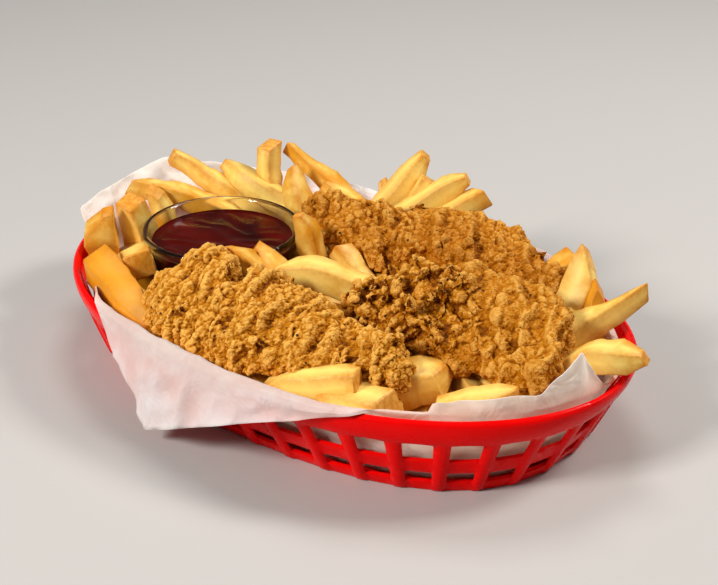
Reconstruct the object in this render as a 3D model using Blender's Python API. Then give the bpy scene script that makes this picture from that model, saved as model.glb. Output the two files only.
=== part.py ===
"""Chicken tenders with fries and a dish of dip in a lined oval plastic basket.

Sizes are in millimetres and degrees. Meshes are made in metres, +Z up, with the basket's underside on z = 0,
its long side along X and its middle on the Z axis.
"""
import math

import bmesh
import bpy
from mathutils import Matrix, Vector, noise

MM = 0.001
GAP = 0.35                      # clear distance between neighbouring solids

# Basket wall: an oval that leans outwards, with ribs, two rows of windows and a rolled rim band
BASKET_HEIGHT = 37.0
BASE_HALF_LENGTH = 115.0
BASE_HALF_WIDTH = 69.3
BASE_SQUARENESS = 2.5           # 2 is an ellipse, more is squarer
RIM_SQUARENESS = 2.0
WALL_LEAN = 0.5                 # outwards for each millimetre upwards
WALL_THICKNESS = 2.0
FLOOR_THICKNESS = 2.2
RIB_COUNT = 38
RIB_WIDTH = 6.2
RIB_PROUD = 0.9                 # of the ribs and of the bars between the windows
LOWER_WINDOWS = (4.8, 10.0)     # heights of the sill and the head
UPPER_WINDOWS = (16.4, 25.4)
BAND_PROUD = 1.5
FLOOR_SLOTS = (0.62, 0.86)      # parts of the base's half sizes

# Paper sheet over the basket: a thin skin that follows floor and wall, then leaves the rim in flaps
PAPER_THICKNESS = 0.7
PAPER_LIFT = 1.0                # from the basket's surface to the middle of the paper
PAPER_COLUMNS = 64
RIM_HALF_LENGTH = BASE_HALF_LENGTH + WALL_LEAN * BASKET_HEIGHT + BAND_PROUD
RIM_HALF_WIDTH = BASE_HALF_WIDTH + WALL_LEAN * BASKET_HEIGHT + BAND_PROUD
# Each station: angle round the rim, then distance out from the rim's outer edge and height of the crest and the edge
PAPER_STATIONS = [
    (-176, -4.0, 37.5, 7.0, 46.0),
    (-168, -4.0, 37.5, 8.0, 43.0),
    (-161, -5.0, 37.0, -3.0, 40.0),
    (-152, -8.0, 31.0, -9.5, 33.0),
    (-136, -8.0, 31.0, -9.5, 33.5),
    (-127, -6.0, 36.5, -6.0, 38.5),
    (-121, -3.0, 38.3, -1.0, 39.0),
    (-107, -3.0, 38.4, 5.0, 25.0),
    (-98, -3.0, 38.4, 10.0, 6.0),
    (-83, -3.0, 38.4, 8.0, 21.5),
    (-75, -3.0, 38.4, 6.0, 28.5),
    (-68, -3.0, 38.4, 4.5, 33.0),
    (-59, -3.0, 38.4, 1.5, 37.5),
    (-55, -4.0, 38.0, -6.0, 37.3),
    (-45, -5.0, 37.6, -10.0, 38.0),
    (-40, -5.0, 37.5, -6.5, 43.0),
    (-32, -5.0, 37.5, -6.5, 44.0),
    (-23, -5.0, 37.5, -6.5, 43.5),
    (-16, -5.0, 37.5, -7.0, 49.5),
    (-9, -5.0, 37.5, -8.0, 55.5),
    (-3, -6.5, 36.5, -6.5, 42.0),
    (1, -6.5, 36.0, -7.0, 37.4),
    (10, -6.5, 35.5, -7.0, 36.6),
    (24, -6.5, 34.5, -7.5, 36.0),
    (42, -6.0, 36.0, -8.0, 38.5),
    (56, -4.0, 38.0, 1.0, 41.0),
    (72, -3.0, 38.6, 5.0, 34.0),
    (86, -2.0, 41.0, 10.0, 14.0),
    (98, -2.0, 40.5, 7.0, 27.0),
    (112, -4.0, 38.4, 3.0, 43.0),
    (128, -4.0, 38.0, 6.0, 44.5),
    (145, -4.0, 37.5, 8.0, 48.0),
    (162, -4.0, 37.5, 8.0, 54.5),
    (169, -4.0, 37.5, 8.0, 51.0),
]
PLEAT_DEPTH = 0.9
PLEAT_COUNT = 21

# Dip dish: a small round glass, standing on the paper
DISH_CENTRE = (-64.5, -3.0)
DISH_FOOT = FLOOR_THICKNESS + PAPER_LIFT + PAPER_THICKNESS / 2 + GAP
DISH_OUTSIDE = [(20.0, 0.0), (23.0, 1.6), (27.4, 14.0), (31.6, 30.0), (34.2, 42.6)]     # radius, height over the foot
DISH_RIM = [(35.0, 44.4), (34.2, 45.4), (33.0, 44.8)]
DISH_INSIDE = [(30.6, 40.0), (28.6, 30.0), (24.4, 14.0), (20.0, 5.0)]
DISH_SIDES = 30
SAUCE_LEVEL = 39.2              # over the foot of the dish
SAUCE_RIPPLE = 0.4

# Tenders: stations along a middle line, each with place, half width, half thickness and roll
TENDERS = {
    "tender_front_left": [
        ((-62, -52, 38), 10, 8, 28),
        ((-46, -52, 42), 27, 12, 30),
        ((-26, -54, 43), 27, 12, 27),
        ((0, -53, 42), 26, 12, 24),
        ((24, -49, 40), 22, 11, 18),
        ((46, -45, 38), 19, 10, 10),
        ((67, -40, 37), 16, 10, 4),
    ],
    "tender_front_right": [
        ((18, -18, 42), 10, 9, 18),
        ((34, -12, 43), 22, 12, 22),
        ((54, -3, 43), 26, 13, 21),
        ((76, 5, 43), 28, 13, 22),
        ((96, 9, 42), 25, 12, 24),
        ((108, 14, 40), 14, 9, 24),
    ],
    "tender_back": [
        ((-50, 36, 46), 10, 8, 12),
        ((-36, 36, 46), 18, 11, 14),
        ((-10, 39, 45), 23, 12, 16),
        ((18, 49, 44), 23, 12, 18),
        ((44, 52, 43), 23, 12, 18),
        ((66, 46, 42), 18, 11, 16),
        ((80, 45, 41), 9, 8, 12),
    ],
}
TENDER_ROUND = 21
TENDER_LONG = 24
CRAG_HEIGHT = 2.2
CRAG_SIZE = 13.0

# Heap: a low core of fries with the fries that show fused on; each fry has two ends, a width and a bow
CORE_COLUMNS = 40
CORE_EDGE = 25.0
CORE_CROWN = 31.0
FRIES = [
    ((-106, -27, 20), (-106, -34, 55), 12, 0),
    ((-105, -11, 20), (-106, -18, 58), 13, 0),
    ((-112, 9, 20), (-111, 3, 53), 9, 0),
    ((-78, 38, 26), (-130, 5, 50), 11, 3),
    ((-74, 50, 26), (-127, 24, 57), 12, 2),
    ((-50, 55, 26), (-108, 41, 55), 12, 2),
    ((-84, 52, 36), (-88, 55, 66), 12, 0),
    ((-46, 43, 18), (-70, 48, 60), 11, 0),
    ((-30, 68, 26), (-85, 67, 63), 10, 2),
    ((-16, 56, 26), (-58, 64, 49), 11, 2),
    ((-26, 22, 22), (-26, 8, 63), 10, 0),
    ((10, 14, 24), (-12, 15, 50), 11, 0),
    ((-8, -22, 26), (-35, -26, 56), 11, 0),
    ((-4, -12, 26), (-32, -15, 57), 11, 0),
    ((30, -4, 30), (-20, -12, 51), 15, 3),
    ((-30, 67, 24), (-42, 74, 54), 9, 0),
    ((-42, 56, 24), (-20, 84, 64), 12, 0),
    ((-30, 66, 22), (-11, 80, 61), 9, 0),
    ((-30, 52, 30), (5, 84, 64), 11, 0),
    ((-8, 62, 38), (17, 84, 58), 11, 0),
    ((54, 34, 34), (75, 64, 51), 12, 0),
    ((78, 28, 18), (88, 53, 61), 13, 0),
    ((90, 28, 20), (99, 48, 50), 9, 0),
    ((82, 6, 24), (116, 49, 56), 13, 0),
    ((99, 2, 32), (140, 13, 46), 14, 4),
    ((-38, -66, 28), (-92, -46, 41), 13, 2),
    ((-106, -18, 29), (-76, -42, 41), 14, 0),
    ((22, -68, 27), (57, -57, 39), 12, 0),
    ((44, -65, 28), (75, -55, 37), 13, 0),
    ((64, -48, 22), (77, -17, 36), 15, 0),
    ((80, -40, 24), (107, -24, 36), 12, 0),
    ((60, 60, 29), (103, 37, 34), 11, 0),
    ((96, 34, 28), (114, -8, 34), 12, 0),
    ((92, -32, 27), (110, 4, 33), 11, 0),
    ((-22, 24, 28), (32, 18, 34), 12, 0),
    ((-24, -2, 27), (14, 26, 34), 10, 0),
]


def oval(angle, half_length, half_width, squareness):
    """Point and outward normal of a superellipse at a parameter angle in radians."""
    c = math.cos(angle)
    s = math.sin(angle)
    power = 2.0 / squareness
    x = math.copysign(abs(c) ** power, c) * half_length
    y = math.copysign(abs(s) ** power, s) * half_width
    grow = squareness - 1.0
    nx = math.copysign((abs(x) / half_length) ** grow / half_length, c)
    ny = math.copysign((abs(y) / half_width) ** grow / half_width, s)
    return Vector((x, y, 0.0)), Vector((nx, ny, 0.0)).normalized()


def wall_point(angle, height, outset=0.0):
    """Point of the basket's outer wall, moved out along the oval's normal."""
    rise = min(max(height / BASKET_HEIGHT, 0.0), 1.0)
    squareness = BASE_SQUARENESS + (RIM_SQUARENESS - BASE_SQUARENESS) * rise
    lean = WALL_LEAN * height
    place, normal = oval(angle, BASE_HALF_LENGTH + lean, BASE_HALF_WIDTH + lean, squareness)
    return place + normal * outset + Vector((0.0, 0.0, height))


def even_angles(count):
    """Parameter angles that divide the oval at mid height into stretches of equal length."""
    fine = 3600
    marks = [0.0]
    last = wall_point(0.0, BASKET_HEIGHT / 2)
    for i in range(1, fine + 1):
        here = wall_point(math.tau * i / fine, BASKET_HEIGHT / 2)
        marks.append(marks[-1] + (here - last).length)
        last = here
    girth = marks[-1]
    angles = []
    step = 0
    for k in range(count):
        goal = girth * k / count
        while marks[step + 1] < goal:
            step += 1
        part = (goal - marks[step]) / (marks[step + 1] - marks[step])
        angles.append(math.tau * (step + part) / fine)
    return angles, girth


def clear_scene():
    """Remove every object that the scene starts with."""
    for item in list(bpy.data.objects):
        bpy.data.objects.remove(item, do_unlink=True)


def make_material(name, colour, roughness, metallic=0.0, transmission=0.0):
    """Principled material with the piece's own colour."""
    material = bpy.data.materials.new(name)
    material.use_nodes = True
    shader = material.node_tree.nodes["Principled BSDF"]
    shader.inputs["Base Color"].default_value = (*colour, 1.0)
    shader.inputs["Roughness"].default_value = roughness
    shader.inputs["Metallic"].default_value = metallic
    shader.inputs["Transmission Weight"].default_value = transmission
    return material


def finish_mesh(name, bm, material=None):
    """Write a bmesh in millimetres to a new object in metres, with outward faces."""
    bmesh.ops.recalc_face_normals(bm, faces=bm.faces)
    bmesh.ops.scale(bm, vec=(MM, MM, MM), verts=bm.verts)
    mesh = bpy.data.meshes.new(name)
    bm.to_mesh(mesh)
    bm.free()
    item = bpy.data.objects.new(name, mesh)
    bpy.context.scene.collection.objects.link(item)
    if material is not None:
        mesh.materials.append(material)
    return item


def basket_rows():
    """Rows of the basket's skin: a name and a function of the angle, from the underside's centre to the floor's."""
    def floor_row(part, height):
        return lambda angle: wall_point(angle, 0.0, -WALL_THICKNESS) * part + Vector((0, 0, height))

    def wall_row(height, outset):
        return lambda angle: wall_point(angle, height, outset)

    inner = -WALL_THICKNESS
    low_sill, low_head = LOWER_WINDOWS
    high_sill, high_head = UPPER_WINDOWS
    return [
        ("under_in", floor_row(FLOOR_SLOTS[0], 0.0)),
        ("under_out", floor_row(FLOOR_SLOTS[1], 0.0)),
        ("toe", wall_row(0.0, 0.0)),
        ("low_sill", wall_row(low_sill, RIB_PROUD)),
        ("low_head", wall_row(low_head, RIB_PROUD)),
        ("high_sill", wall_row(high_sill, RIB_PROUD)),
        ("high_head", wall_row(high_head, RIB_PROUD)),
        ("lip", wall_row(high_head + 0.5, BAND_PROUD)),
        ("band_top", wall_row(BASKET_HEIGHT - 1.4, BAND_PROUD)),
        ("crown", wall_row(BASKET_HEIGHT, -0.4)),
        ("in_high_head", wall_row(high_head, inner)),
        ("in_high_sill", wall_row(high_sill, inner)),
        ("in_low_head", wall_row(low_head, inner)),
        ("in_low_sill", wall_row(low_sill, inner)),
        ("floor_edge", wall_row(FLOOR_THICKNESS, inner)),
        ("floor_out", floor_row(FLOOR_SLOTS[1], FLOOR_THICKNESS)),
        ("floor_in", floor_row(FLOOR_SLOTS[0], FLOOR_THICKNESS)),
    ]


def make_basket(material):
    """Oval lattice basket: one skin of rows and columns with the windows left out and their sides closed."""
    doubled, girth = even_angles(RIB_COUNT * 2)
    rib_share = RIB_WIDTH * RIB_COUNT / girth
    columns = []
    for k in range(RIB_COUNT):
        centre = doubled[2 * k]
        before = doubled[2 * k - 1] - (math.tau if k == 0 else 0.0)
        columns.append(centre + (before - centre) * rib_share)
        columns.append(centre + (doubled[2 * k + 1] - centre) * rib_share)
    rows = basket_rows()
    names = [name for name, _ in rows]
    bm = bmesh.new()
    grid = [[bm.verts.new(place(angle)) for angle in columns] for _, place in rows]
    windows = [("low_sill", "low_head", "in_low_sill", "in_low_head"),
               ("high_sill", "high_head", "in_high_sill", "in_high_head"),
               ("under_in", "under_out", "floor_in", "floor_out")]
    open_strips = set()
    for a, b, c, d in windows:
        open_strips.add(frozenset((names.index(a), names.index(b))))
        open_strips.add(frozenset((names.index(c), names.index(d))))
    count = len(columns)
    for r in range(len(rows) - 1):
        for c in range(count):
            if c % 2 == 1 and frozenset((r, r + 1)) in open_strips:
                continue
            d = (c + 1) % count
            bm.faces.new((grid[r][c], grid[r][d], grid[r + 1][d], grid[r + 1][c]))
    for a, b, c, d in windows:
        outer_low, outer_high = grid[names.index(a)], grid[names.index(b)]
        inner_low, inner_high = grid[names.index(c)], grid[names.index(d)]
        for left in range(1, count, 2):
            right = (left + 1) % count
            bm.faces.new((outer_low[left], outer_low[right], inner_low[right], inner_low[left]))
            bm.faces.new((outer_high[left], outer_high[right], inner_high[right], inner_high[left]))
            bm.faces.new((outer_low[left], outer_high[left], inner_high[left], inner_low[left]))
            bm.faces.new((outer_low[right], outer_high[right], inner_high[right], inner_low[right]))
    bm.faces.new(grid[0])
    bm.faces.new(grid[-1])
    return finish_mesh("basket", bm, material)


def paper_station(degrees):
    """Crest and edge of the paper at an angle round the rim, eased between the listed stations."""
    turn = (degrees + 180.0) % 360.0 - 180.0
    stations = PAPER_STATIONS
    for i, station in enumerate(stations):
        following = stations[(i + 1) % len(stations)]
        start = station[0]
        end = following[0] + (360.0 if following[0] < start else 0.0)
        here = turn + (360.0 if turn < start and end > 180.0 else 0.0)
        if start <= here <= end:
            part = (here - start) / (end - start)
            return [a + (b - a) * part for a, b in zip(station[1:], following[1:])]
    return list(stations[0][1:])


def rim_point(angle, outset, height):
    """Point at a distance out from the rim's outer edge, at any height."""
    place, normal = oval(angle, RIM_HALF_LENGTH, RIM_HALF_WIDTH, RIM_SQUARENESS)
    return place + normal * outset + Vector((0.0, 0.0, height))


def paper_column(angle):
    """Points of the paper's middle surface from the edge of the floor out to the sheet's edge."""
    crest_out, crest_height, edge_out, edge_height = paper_station(math.degrees(angle))
    inset = -WALL_THICKNESS - PAPER_LIFT
    pleat = math.sin(angle * PLEAT_COUNT) * PLEAT_DEPTH
    points = [wall_point(angle, FLOOR_THICKNESS + PAPER_LIFT, inset - 1.0)]
    points.append(wall_point(angle, min(33.0, crest_height - 3.0), inset - 0.9 + pleat * 0.3))
    points.append(rim_point(angle, crest_out, crest_height))
    hangs = min(max((edge_out + 2.0) / 3.0, 0.0), 1.0) if edge_height < crest_height else 0.0
    for part, push in ((0.2, 2.4), (0.6, 1.4)):
        out = crest_out + (edge_out - crest_out) * part + hangs * push + pleat * part
        height = crest_height + (edge_height - crest_height) * part * (1.0 - 0.8 * hangs * (1.0 - part))
        points.append(rim_point(angle, out, height))
    points.append(rim_point(angle, edge_out + pleat, edge_height))
    return points


def make_liner(material):
    """Square sheet of paper pressed into the basket: a skin with a Solidify modifier, split alike on both faces."""
    bm = bmesh.new()
    middle = bm.verts.new((0.0, 0.0, FLOOR_THICKNESS + PAPER_LIFT))
    angles, _ = even_angles(PAPER_COLUMNS)
    columns = [[bm.verts.new(p) for p in paper_column(angle)] for angle in angles]
    for c in range(PAPER_COLUMNS):
        here = columns[c]
        following = columns[(c + 1) % PAPER_COLUMNS]
        bm.faces.new((middle, here[0], following[0]))
        for r in range(len(here) - 1):
            bm.faces.new((here[r], here[r + 1], following[r + 1]))
            bm.faces.new((here[r], following[r + 1], following[r]))
    liner = finish_mesh("liner", bm, material)
    skin = liner.modifiers.new("thickness", "SOLIDIFY")
    skin.thickness = PAPER_THICKNESS * MM
    skin.offset = 0.0
    return liner


def spin_solid(name, profile, centre, foot, sides, material=None):
    """Solid of revolution from a list of radius and height, whose first and last points lie on the axis."""
    bm = bmesh.new()
    chain = [bm.verts.new((radius, 0.0, height)) for radius, height in profile]
    edges = [bm.edges.new((a, b)) for a, b in zip(chain, chain[1:])]
    bmesh.ops.spin(bm, geom=chain + edges, cent=(0, 0, 0), axis=(0, 0, 1), angle=math.tau, steps=sides)
    bmesh.ops.remove_doubles(bm, verts=bm.verts, dist=0.01)
    bmesh.ops.translate(bm, vec=(*centre, foot), verts=bm.verts)
    return finish_mesh(name, bm, material)


def make_dish(material):
    """Small clear glass dish with a rounded rim."""
    profile = [(0.0, 0.0)] + DISH_OUTSIDE + DISH_RIM + DISH_INSIDE + [(0.0, 4.0)]
    return spin_solid("dip_dish", profile, DISH_CENTRE, DISH_FOOT, DISH_SIDES, material)


def inside_radius(height):
    """Inner radius of the dish at a height over its foot."""
    wall = sorted(((h, r) for r, h in DISH_INSIDE + DISH_RIM[2:]))
    for (low, low_radius), (high, high_radius) in zip(wall, wall[1:]):
        if height <= high:
            part = (height - low) / (high - low)
            return low_radius + (high_radius - low_radius) * part
    return wall[-1][1]


def make_sauce(material):
    """Dip that fills the dish up to its level, with low ripples on top."""
    clear = GAP + 0.1
    profile = [(0.0, 4.0 + clear), (DISH_INSIDE[-1][0] - clear, DISH_INSIDE[-1][1] + clear)]
    profile += [(radius - clear, height) for radius, height in reversed(DISH_INSIDE[1:-1])]
    edge = inside_radius(SAUCE_LEVEL) - clear
    profile += [(edge, SAUCE_LEVEL)]
    rings = 4
    profile += [(edge * (rings - k) / rings, SAUCE_LEVEL - 0.5 * math.sin(k * 1.4)) for k in range(1, rings + 1)]
    sauce = spin_solid("dip_sauce", profile, DISH_CENTRE, DISH_FOOT, DISH_SIDES, material)
    level = (DISH_FOOT + SAUCE_LEVEL - 2.0) * MM
    for vertex in sauce.data.vertices:
        if vertex.co.z > level:
            spot = vertex.co / MM
            inward = 1.0 - (Vector(spot[:2]) - Vector(DISH_CENTRE)).length / edge
            vertex.co.z += noise.noise(spot / 14.0) * SAUCE_RIPPLE * 2.0 * max(inward, 0.0) * MM
    return sauce


def along(stations, part):
    """Centre, direction, half width, half thickness and roll at a part of a tender's length, smoothly blended."""
    last = len(stations) - 1
    spot = min(max(part, 0.0), 1.0) * last
    index = min(int(spot), last - 1)
    share = spot - index
    (a, width_a, thick_a, roll_a), (b, width_b, thick_b, roll_b) = stations[index], stations[index + 1]
    before = Vector(stations[max(index - 1, 0)][0])
    after = Vector(stations[min(index + 2, last)][0])
    start, end = Vector(a), Vector(b)
    leave = (end - before) / 2
    arrive = (after - start) / 2
    s2, s3 = share * share, share ** 3
    centre = start * (2 * s3 - 3 * s2 + 1) + leave * (s3 - 2 * s2 + share)
    centre += end * (3 * s2 - 2 * s3) + arrive * (s3 - s2)
    heading = leave.lerp(arrive, share).normalized()
    mix = 3 * s2 - 2 * s3
    return (centre, heading, width_a + (width_b - width_a) * mix, thick_a + (thick_b - thick_a) * mix,
            roll_a + (roll_b - roll_a) * mix)


def tender_mesh(stations, sides, length_steps, swell=0.0):
    """Sphere drawn out along the stations with crags raised on it; swell keeps a clear distance for a cutter."""
    bm = bmesh.new()
    bmesh.ops.create_uvsphere(bm, u_segments=sides, v_segments=length_steps, radius=1.0)
    for vertex in bm.verts:
        polar = math.acos(max(-1.0, min(1.0, vertex.co.z)))
        part = polar / math.pi
        round_end = math.sin(polar) ** 0.45 if 0.0 < part < 1.0 else 0.0
        turn = math.atan2(vertex.co.y, vertex.co.x)
        centre, heading, width, thick, roll = along(stations, part)
        level = Vector((-heading.y, heading.x, 0.0)).normalized()
        tilt = Matrix.Rotation(math.radians(roll), 3, heading)
        side = tilt @ level
        up = heading.cross(side)
        across = side * (math.cos(turn) * width * round_end)
        raised = up * (math.sin(turn) * thick * round_end)
        vertex.co = centre + across + raised
    bmesh.ops.reverse_faces(bm, faces=bm.faces)     # the length runs from the sphere's top to its bottom
    bm.normal_update()
    moves = []
    for vertex in bm.verts:
        spot = vertex.co / CRAG_SIZE
        lump = noise.noise(spot) * 0.9 + noise.noise(spot * 2.3) * 0.6
        moves.append(vertex.normal * (lump * CRAG_HEIGHT + swell))
    for vertex, move in zip(bm.verts, moves):
        vertex.co += move
    return bm


def make_fry(index, start, end, width, bow):
    """One fry: a box with bevelled edges, cut in the middle and bowed upwards."""
    start, end = Vector(start), Vector(end)
    run = end - start
    length = run.length
    bm = bmesh.new()
    bmesh.ops.create_cube(bm, size=1.0)
    bmesh.ops.scale(bm, vec=(length, width, width * 0.92), verts=bm.verts)
    long_edges = [edge for edge in bm.edges if abs(edge.verts[0].co.x - edge.verts[1].co.x) > length / 2]
    bmesh.ops.bevel(bm, geom=long_edges, offset=width * 0.2, segments=1, affect="EDGES")
    geometry = list(bm.verts) + list(bm.edges) + list(bm.faces)
    bmesh.ops.bisect_plane(bm, geom=geometry, plane_co=(0.0, 0.0, 0.0), plane_no=(1.0, 0.0, 0.0), dist=0.0001)
    for vertex in bm.verts:
        part = vertex.co.x / length * 2.0
        vertex.co.z += bow * (1.0 - part * part)
        vertex.co.yz *= 1.0 - 0.1 * abs(part)
    turn = run.to_track_quat("X", "Z")
    bmesh.ops.rotate(bm, verts=bm.verts, matrix=turn.to_matrix(), cent=(0.0, 0.0, 0.0))
    bmesh.ops.translate(bm, verts=bm.verts, vec=(start + end) / 2)
    return finish_mesh(f"fry_{index:02d}", bm)


def core_height(place):
    """Height of the core's top at a place in the basket: low at the wall, higher in the middle."""
    reach = math.hypot(place.x / (RIM_HALF_LENGTH - 6.0), place.y / (RIM_HALF_WIDTH - 6.0))
    return CORE_EDGE + (CORE_CROWN - CORE_EDGE) * max(0.0, 1.0 - reach ** 3)


def make_core():
    """Mound that fills the lined basket under the fries that show."""
    inset = -WALL_THICKNESS - PAPER_LIFT * 2 - PAPER_THICKNESS - 1.2
    floor = FLOOR_THICKNESS + PAPER_LIFT + PAPER_THICKNESS / 2 + GAP
    angles, _ = even_angles(CORE_COLUMNS)
    bm = bmesh.new()
    rings = [[bm.verts.new(wall_point(angle, floor, inset - 0.6)) for angle in angles]]
    rings.append([bm.verts.new(wall_point(angle, CORE_EDGE, inset)) for angle in angles])
    for part in (0.75, 0.45, 0.2):
        ring = []
        for angle in angles:
            place = wall_point(angle, CORE_EDGE, inset) * part
            place.z = core_height(place)
            ring.append(bm.verts.new(place))
        rings.append(ring)
    for low, high in zip(rings, rings[1:]):
        for c in range(CORE_COLUMNS):
            d = (c + 1) % CORE_COLUMNS
            bm.faces.new((low[c], low[d], high[d], high[c]))
    bm.faces.new(rings[0])
    bm.faces.new(rings[-1])
    return finish_mesh("fries", bm)


def apply_modifiers(item):
    """Replace an object's mesh with its evaluated mesh."""
    graph = bpy.context.evaluated_depsgraph_get()
    mesh = bpy.data.meshes.new_from_object(item.evaluated_get(graph))
    item.modifiers.clear()
    item.data = mesh


def add_boolean(item, collection, operation):
    """Apply a Boolean of a whole collection, then remove the collection's objects."""
    modifier = item.modifiers.new(operation.lower(), "BOOLEAN")
    modifier.operation = operation
    modifier.operand_type = "COLLECTION"
    modifier.collection = collection
    modifier.solver = "EXACT"
    apply_modifiers(item)
    for extra in list(collection.objects):
        bpy.data.objects.remove(extra, do_unlink=True)
    bpy.data.collections.remove(collection)


def gather(name, items):
    """Move objects from the scene's own collection into a new one below it."""
    collection = bpy.data.collections.new(name)
    bpy.context.scene.collection.children.link(collection)
    for item in items:
        bpy.context.scene.collection.objects.unlink(item)
        collection.objects.link(item)
        item.hide_render = True
        item.display_type = "WIRE"
    return collection


def keep_largest_island(item):
    """Drop loose scraps that a Boolean leaves, and weld its doubled points."""
    bm = bmesh.new()
    bm.from_mesh(item.data)
    bmesh.ops.remove_doubles(bm, verts=bm.verts, dist=0.00005)
    bmesh.ops.dissolve_degenerate(bm, edges=bm.edges, dist=0.00005)
    unseen = set(bm.verts)
    islands = []
    while unseen:
        stack = [unseen.pop()]
        island = [stack[0]]
        while stack:
            for edge in stack.pop().link_edges:
                for vertex in edge.verts:
                    if vertex in unseen:
                        unseen.discard(vertex)
                        island.append(vertex)
                        stack.append(vertex)
        islands.append(island)
    islands.sort(key=len)
    for island in islands[:-1]:
        bmesh.ops.delete(bm, geom=island, context="VERTS")
    bmesh.ops.triangulate(bm, faces=bm.faces)
    bm.to_mesh(item.data)
    bm.free()


def make_heap(material):
    """Fries: core and showing fries in one solid, cut clear of the tenders and of the dish."""
    heap = make_core()
    fries = [make_fry(i, *fry) for i, fry in enumerate(FRIES)]
    add_boolean(heap, gather("showing_fries", fries), "UNION")
    cutters = []
    for name, stations in TENDERS.items():
        bm = tender_mesh(stations, TENDER_ROUND, TENDER_LONG, GAP + 0.6)
        cutters.append(finish_mesh(f"{name}_room", bm))
    clear = 1.0
    body = [(radius + clear, height) for radius, height in DISH_OUTSIDE[1:] + DISH_RIM[:1]]
    body = [(0.0, -6.0), (body[0][0], -6.0)] + body + [(body[-1][0], 46.2), (0.0, 46.2)]
    cutters.append(spin_solid("dish_room", body, DISH_CENTRE, DISH_FOOT, 20))
    add_boolean(heap, gather("cutters", cutters), "DIFFERENCE")
    keep_largest_island(heap)
    heap.data.materials.clear()
    heap.data.materials.append(material)
    return heap


def main():
    clear_scene()
    red_plastic = make_material("red_plastic", (0.62, 0.005, 0.006), 0.22)
    waxed_paper = make_material("waxed_paper", (0.86, 0.80, 0.76), 0.5, transmission=0.2)
    breading = make_material("breading", (0.50, 0.23, 0.045), 0.65)
    fried_potato = make_material("fried_potato", (0.72, 0.45, 0.10), 0.5)
    clear_glass = make_material("clear_glass", (0.95, 0.96, 0.95), 0.03, transmission=1.0)
    dark_sauce = make_material("dark_sauce", (0.07, 0.006, 0.004), 0.12)
    make_basket(red_plastic)
    make_liner(waxed_paper)
    make_dish(clear_glass)
    make_sauce(dark_sauce)
    make_heap(fried_potato)
    for name, stations in TENDERS.items():
        finish_mesh(name, tender_mesh(stations, TENDER_ROUND, TENDER_LONG), breading)


main()
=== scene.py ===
"""Looks of a lined oval basket of chicken tenders with fries and a dip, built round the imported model.

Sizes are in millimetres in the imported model's own frame: +X along the basket towards the end without the dip, +Y to
its back side, +Z up, with the basket's underside on z = 0. Meshes are made in those sizes and turned to metres last.
"""

import logging
import math
import random
from bisect import bisect_right
from contextlib import contextmanager
from dataclasses import dataclass, field
from enum import Enum
from functools import cache, cached_property
from typing import Callable, Iterable, Iterator, Sequence

import bmesh
import bpy
from mathutils import Matrix, Quaternion, Vector, noise
from mathutils.bvhtree import BVHTree
from mathutils.geometry import intersect_point_line


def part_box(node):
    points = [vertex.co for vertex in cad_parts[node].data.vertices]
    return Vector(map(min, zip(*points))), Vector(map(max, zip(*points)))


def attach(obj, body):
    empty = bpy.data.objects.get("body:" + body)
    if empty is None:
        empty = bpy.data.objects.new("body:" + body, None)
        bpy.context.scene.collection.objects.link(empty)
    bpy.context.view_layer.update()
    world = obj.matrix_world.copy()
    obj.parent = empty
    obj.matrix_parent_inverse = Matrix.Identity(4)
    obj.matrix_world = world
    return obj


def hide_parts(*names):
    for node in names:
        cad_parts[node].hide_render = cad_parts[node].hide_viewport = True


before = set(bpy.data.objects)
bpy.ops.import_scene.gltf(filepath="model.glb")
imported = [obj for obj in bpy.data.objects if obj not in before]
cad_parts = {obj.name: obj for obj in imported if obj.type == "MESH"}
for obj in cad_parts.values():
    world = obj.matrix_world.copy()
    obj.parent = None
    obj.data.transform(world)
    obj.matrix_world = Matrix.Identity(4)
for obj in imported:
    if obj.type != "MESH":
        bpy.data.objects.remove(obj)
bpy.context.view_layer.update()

MM = 0.001
NOISE_SEED = 11             # any but 0, with which noise_vector starts from the clock
LOG = logging.getLogger("basket")
Triple = tuple[float, float, float]
Pair = tuple[float, float]

noise.seed_set(NOISE_SEED)


# Workbench: short calls for modelling with operators

def deselect() -> None:
    """Leave nothing selected, so that the next operator acts on its own piece alone."""
    bpy.ops.object.select_all(action="DESELECT")


def activate(item: bpy.types.Object) -> None:
    """Make one object the only selected and active one.

    Args:
        item: The object to work on.
    """
    deselect()
    item.select_set(True)
    bpy.context.view_layer.objects.active = item


@contextmanager
def edit_mode(item: bpy.types.Object) -> Iterator[None]:
    """Work on one object in edit mode, then return to object mode.

    Args:
        item: The object to edit.

    Yields:
        Nothing, once the object is in edit mode.
    """
    activate(item)
    bpy.ops.object.mode_set(mode="EDIT")
    try:
        yield
    finally:
        bpy.ops.object.mode_set(mode="OBJECT")


def select_parts(item: bpy.types.Object, kind: str, test: Callable[[object], bool]) -> int:
    """Select the faces, edges or vertices of the object in edit mode that pass a test.

    Args:
        item: The object in edit mode.
        kind: One of VERT, EDGE and FACE.
        test: Says of a bmesh element whether it is wanted.

    Returns:
        How many elements are selected.
    """
    bpy.ops.mesh.select_mode(type=kind)
    bpy.ops.mesh.select_all(action="DESELECT")
    mesh = bmesh.from_edit_mesh(item.data)
    parts = {"VERT": mesh.verts, "EDGE": mesh.edges, "FACE": mesh.faces}[kind]
    chosen = [part for part in parts if test(part)]
    for part in chosen:
        part.select_set(True)
    mesh.select_flush_mode()
    bmesh.update_edit_mesh(item.data)
    return len(chosen)


def modify(item: bpy.types.Object, kind: str, **settings: object) -> None:
    """Add a modifier to an object and apply it.

    Args:
        item: The object.
        kind: The modifier's type.
        settings: The modifier's own properties.
    """
    modifier = item.modifiers.new(kind.lower(), kind)
    for key, value in settings.items():
        setattr(modifier, key, value)
    activate(item)
    bpy.ops.object.modifier_apply(modifier=modifier.name)


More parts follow.
